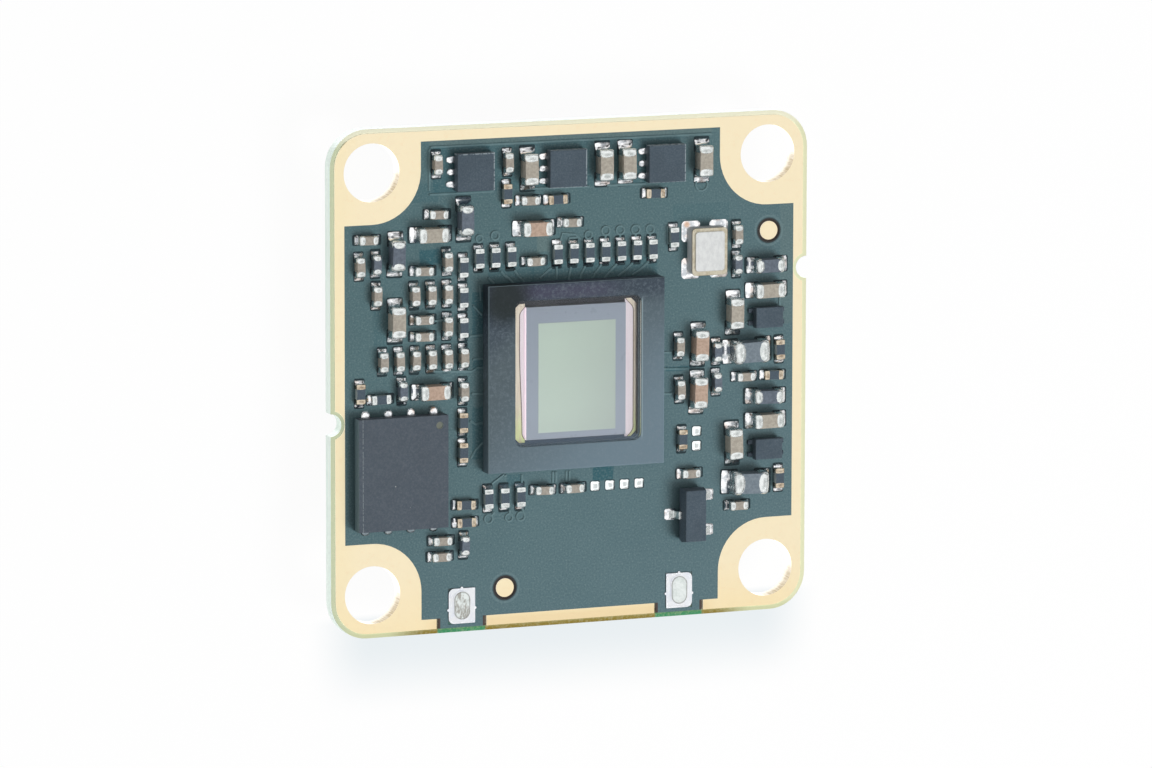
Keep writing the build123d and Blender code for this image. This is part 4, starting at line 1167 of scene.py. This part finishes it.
# copper under the mask: trace width, relief, rings as x, y and radius, and the points of each trace
reliefLook = {"trace": 0.07, "height": 0.055, "viaRing": 0.06}
viaPlaces = [
    (-5.2, 7.44, 0.19), (-4.32, 7.56, 0.22), (0.96, 7.34, 0.2), (1.94, 7.51, 0.23), (2.76, 7.5, 0.23),
    (3.64, 7.49, 0.23), (4.47, 7.47, 0.23), (-4.69, -7.54, 0.23), (-3.53, -7.54, 0.2), (-2.87, -7.51, 0.23),
    (7.4, 9.72, 0.34),
]
traceRuns = [
    [(-4.72, 5.34), (-4.38, 5.0)], [(-4.0, 5.65), (-3.66, 5.25)], [(-3.75, 5.41), (-3.28, 4.97)],
    [(-3.22, 5.67), (-3.0, 5.31), (-2.66, 4.99)], [(-1.15, 5.68), (-1.53, 5.38), (-1.78, 5.15)],
    [(-0.84, 5.73), (-0.83, 5.05)], [(-0.02, 5.68), (-0.11, 5.3), (-0.14, 5.01)],
    [(0.77, 5.67), (0.58, 5.33), (0.52, 4.97)], [(1.69, 5.72), (1.37, 5.29), (1.18, 4.94)],
    [(2.57, 5.7), (2.13, 5.28), (1.88, 4.96)], [(3.49, 5.71), (2.95, 5.26), (2.64, 5.04)],
    [(4.41, 5.75), (3.91, 5.33), (3.46, 5.06)], [(-0.65, 7.05), (-0.52, 7.5), (0.23, 7.39), (0.5, 7.1)],
    [(-0.15, 6.98), (-0.15, 7.22), (0.36, 7.24)], [(4.47, 7.3), (4.47, 7.0)], [(1.94, 7.3), (1.9, 7.05)],
    [(2.76, 7.3), (2.76, 7.05)], [(3.64, 7.3), (3.64, 7.05)],
    [(-4.5, -5.67), (-3.81, -5.21)], [(-3.81, -5.33), (-3.68, -5.25)], [(-2.8, -5.27), (-2.8, -5.78)],
    [(-1.04, -5.23), (-1.04, -5.82)], [(-0.86, -5.23), (-0.86, -5.82)], [(-0.28, -5.25), (-0.28, -5.79)],
    [(-0.1, -5.25), (-0.1, -5.79)], [(-2.77, -7.1), (-2.71, -7.3)], [(-4.34, -7.2), (-4.5, -7.36)],
    [(-3.46, -7.1), (-3.5, -7.33)], [(-5.16, 4.98), (-5.12, 4.14)], [(-5.56, 3.9), (-5.04, 3.38)],
    [(-5.76, 2.28), (-5.0, 2.31)], [(-5.56, 1.05), (-4.96, 1.05)],
    [(-7.97, 0.54), (-5.64, 0.41), (-5.32, 0.58), (-4.92, 0.55)], [(-5.64, -0.78), (-4.92, -0.82)],
    [(-5.72, -2.22), (-5.4, -2.43), (-4.96, -2.34)], [(-5.68, -4.24), (-5.48, -3.88), (-5.0, -3.45)],
    [(-7.8, 3.19), (-7.24, 3.23)], [(5.2, 0.8), (5.72, 0.79)], [(5.2, -0.07), (6.71, -0.15)],
    [(5.2, -1.42), (5.73, -1.44)], [(10.0, 2.17), (10.4, 2.15)], [(10.05, -4.98), (10.4, -5.0)],
    [(11.94, 3.4), (11.94, 2.9)], [(-8.0, 9.9), (-4.4, 9.92)], [(-2.6, 9.95), (1.0, 9.92)],
    [(2.0, 9.92), (4.2, 9.9)], [(-7.95, 12.4), (7.95, 12.4)], [(-8.0, 10.1), (-8.0, 12.3)],
    [(5.46, 7.6), (5.49, 6.6)],
]


# a flattened cord laid through the points
def layTrace(bm, points, radius):
    path = [Vector((*point, 0.0)) for point in points]
    begin = len(bm.verts)
    ring = bmesh.ops.create_circle(bm, cap_ends=False, radius=radius, segments=8)["verts"]
    heading = (path[1] - path[0]).normalized()
    bmesh.ops.rotate(bm, matrix=Vector((0, 0, 1)).rotation_difference(heading).to_matrix(), verts=ring)
    bmesh.ops.translate(bm, vec=path[0], verts=ring)
    edges = list({edge for vert in ring for edge in vert.link_edges})
    for index in range(1, len(path)):
        made = bmesh.ops.extrude_edge_only(bm, edges=edges)["geom"]
        verts = [item for item in made if isinstance(item, bmesh.types.BMVert)]
        edges = [item for item in made if isinstance(item, bmesh.types.BMEdge)
                 and item.verts[0] in verts and item.verts[1] in verts]
        bmesh.ops.translate(bm, vec=path[index] - path[index - 1], verts=verts)
        onward = (path[min(index + 1, len(path) - 1)] - path[index - 1]).normalized()
        turn = heading.rotation_difference(onward).to_matrix()
        bmesh.ops.rotate(bm, cent=path[index], matrix=turn, verts=verts)
        heading = onward
    bm.verts.ensure_lookup_table()
    for vert in bm.verts[begin:]:
        vert.co.z *= reliefLook["height"] / radius


def makeRelief():
    bm = bmesh.new()
    for points in traceRuns:
        layTrace(bm, points, reliefLook["trace"])
    for x, y, radius in viaPlaces:
        angles = [math.radians(20 * step) for step in range(19)]
        ring = [(x + radius * math.cos(angle), y + radius * math.sin(angle)) for angle in angles]
        layTrace(bm, ring, reliefLook["viaRing"])
    bmesh.ops.recalc_face_normals(bm, faces=bm.faces[:])
    keepPiece("copperRelief", bm, traceFinish)


makeRelief()
keepPiece("maskOpenings", openings, openingFinish)
print("relief")

cameraLook = {"yaw": 21.517, "pitch": 9.227, "roll": -0.114, "lens": 233.29, "sensor": 36.0,
              "shift": (-0.254, 0.582, -394.915), "near": 0.01, "far": 20.0}
lampLooks = {
    "keySoftbox": {"place": (0.22, -0.2, 0.34), "size": (0.24, 0.24), "watts": 1.8},
    "sideSoftbox": {"place": (-0.4, 0.02, 0.1), "size": (0.3, 0.16), "watts": 0.2},
}
floorLook = {"colour": white, "glow": white, "strength": 0.96, "shadow": linear(233, 239, 242), "half": 3.0}
# world lights the board; what metal mirrors is the sky above, and patches from dark to bright around it
skyLook = {"world": 0.26, "sky": 1.5, "overhead": 0.8, "overheadPlace": (0.362, -0.161, 0.918),
           "dark": 0.03, "bright": 1.1, "patchScale": 2.6}


def makeCamera():
    yaw, pitch, roll = (math.radians(cameraLook[name]) for name in ("yaw", "pitch", "roll"))
    turn = Matrix.Rotation(roll, 3, "Z") @ Matrix.Rotation(pitch, 3, "X") @ Matrix.Rotation(yaw, 3, "Y")
    back = turn.transposed()
    data = bpy.data.cameras.new("camera")
    data.sensor_width = cameraLook["sensor"]
    data.lens = cameraLook["lens"]
    data.clip_start = cameraLook["near"]
    data.clip_end = cameraLook["far"]
    camera = bpy.data.objects.new("camera", data)
    place = back @ Vector(cameraLook["shift"]) * -millimetre
    camera.matrix_world = Matrix.Translation(place) @ back.to_4x4()
    scene.collection.objects.link(camera)
    scene.camera = camera


# a soft lamp that faces the middle of the board and isn't mirrored
def addLamp(name, look):
    data = bpy.data.lights.new(name, "AREA")
    data.shape = "RECTANGLE"
    data.size, data.size_y = look["size"]
    data.energy = look["watts"]
    lamp = bpy.data.objects.new(name, data)
    lamp.location = look["place"]
    lamp.rotation_euler = (-Vector(look["place"])).to_track_quat("-Z", "Y").to_euler()
    lamp.visible_glossy = False
    scene.collection.objects.link(lamp)


# lit as a real floor, but pale where it is seen or mirrored, apart from a faint shade below the board
def makeFloor():
    bm = bmesh.new()
    bmesh.ops.create_grid(bm, x_segments=2, y_segments=2, size=floorLook["half"])
    bmesh.ops.translate(bm, vec=(0.0, 0.0, cadBox[0][2]), verts=bm.verts)
    mesh = bpy.data.meshes.new("floor")
    bm.to_mesh(mesh)
    bm.free()
    floor = bpy.data.objects.new("floor", mesh)
    scene.collection.objects.link(floor)
    finish = Finish("paleFloor", Roughness=0.6)
    finish.set("Base Color", floorLook["colour"])
    below = finish.ramp(finish.axis("Y"), -18.6, -14.3) * finish.fall(finish.axis("Y"), -13.4, -12.8)
    below = below * finish.fall(finish.size(finish.axis("X") - 1.0), 11.0, 15.0)
    tone = finish.blend(below, floorLook["glow"], floorLook["shadow"])
    glow = finish.node("ShaderNodeEmission", {}, {"Color": tone, "Strength": 1.0})
    seen = finish.larger(finish.ray("Is Camera Ray"), finish.ray("Is Glossy Ray"))
    seen = finish.larger(seen, finish.ray("Is Transmission Ray"))
    mixed = finish.node("ShaderNodeMixShader", {}, {
        0: seen * floorLook["strength"], 1: Wire(finish, finish.surface.outputs[0]), 2: glow})
    finish.feed(finish.output.inputs[0], mixed)
    mesh.materials.append(finish.material)


def makeWorld():
    look = skyLook
    world = bpy.data.worlds.new("studio")
    scene.world = world
    world.use_nodes = True
    sky = Graph(world.node_tree)
    place = sky.node("ShaderNodeTexCoord", {}, {}, "Generated")
    height = sky.node("ShaderNodeSeparateXYZ", {}, {"Vector": place}, "Z")
    above = sky.node("ShaderNodeValToRGB", {"stops": [(0.38, black), (0.66, white)]}, {0: height})
    cloud = sky.node("ShaderNodeTexNoise", {},
                     {"Vector": place, "Scale": look["patchScale"], "Detail": 1.0}, "Fac")
    patches = sky.ramp(cloud, 0.44, 0.56, look["dark"], look["bright"])
    # flat tops mirror a darker round overhead
    away = sky.node("ShaderNodeVectorMath", {"operation": "DISTANCE"},
                    {0: place, 1: look["overheadPlace"]}, "Value")
    overhead = sky.ramp(away, 0.13, 0.34, look["overhead"], look["sky"])
    strength = sky.node("ShaderNodeMix", {"data_type": "FLOAT"}, {0: above, 2: patches, 3: overhead})
    lighting, mirrored, seen = (sky.node("ShaderNodeBackground", {}, {"Strength": value})
                                for value in (look["world"], strength, 1.0))
    unseen = sky.node("ShaderNodeMixShader", {}, {0: sky.ray("Is Glossy Ray"), 1: lighting, 2: mirrored})
    whole = sky.node("ShaderNodeMixShader", {}, {0: sky.ray("Is Camera Ray"), 1: unseen, 2: seen})
    sky.feed(sky.tree.nodes.new("ShaderNodeOutputWorld").inputs[0], whole)


makeCamera()
makeFloor()
makeWorld()
for name, look in lampLooks.items():
    addLamp(name, look)
scene.view_settings.view_transform = "Standard"
print("studio")
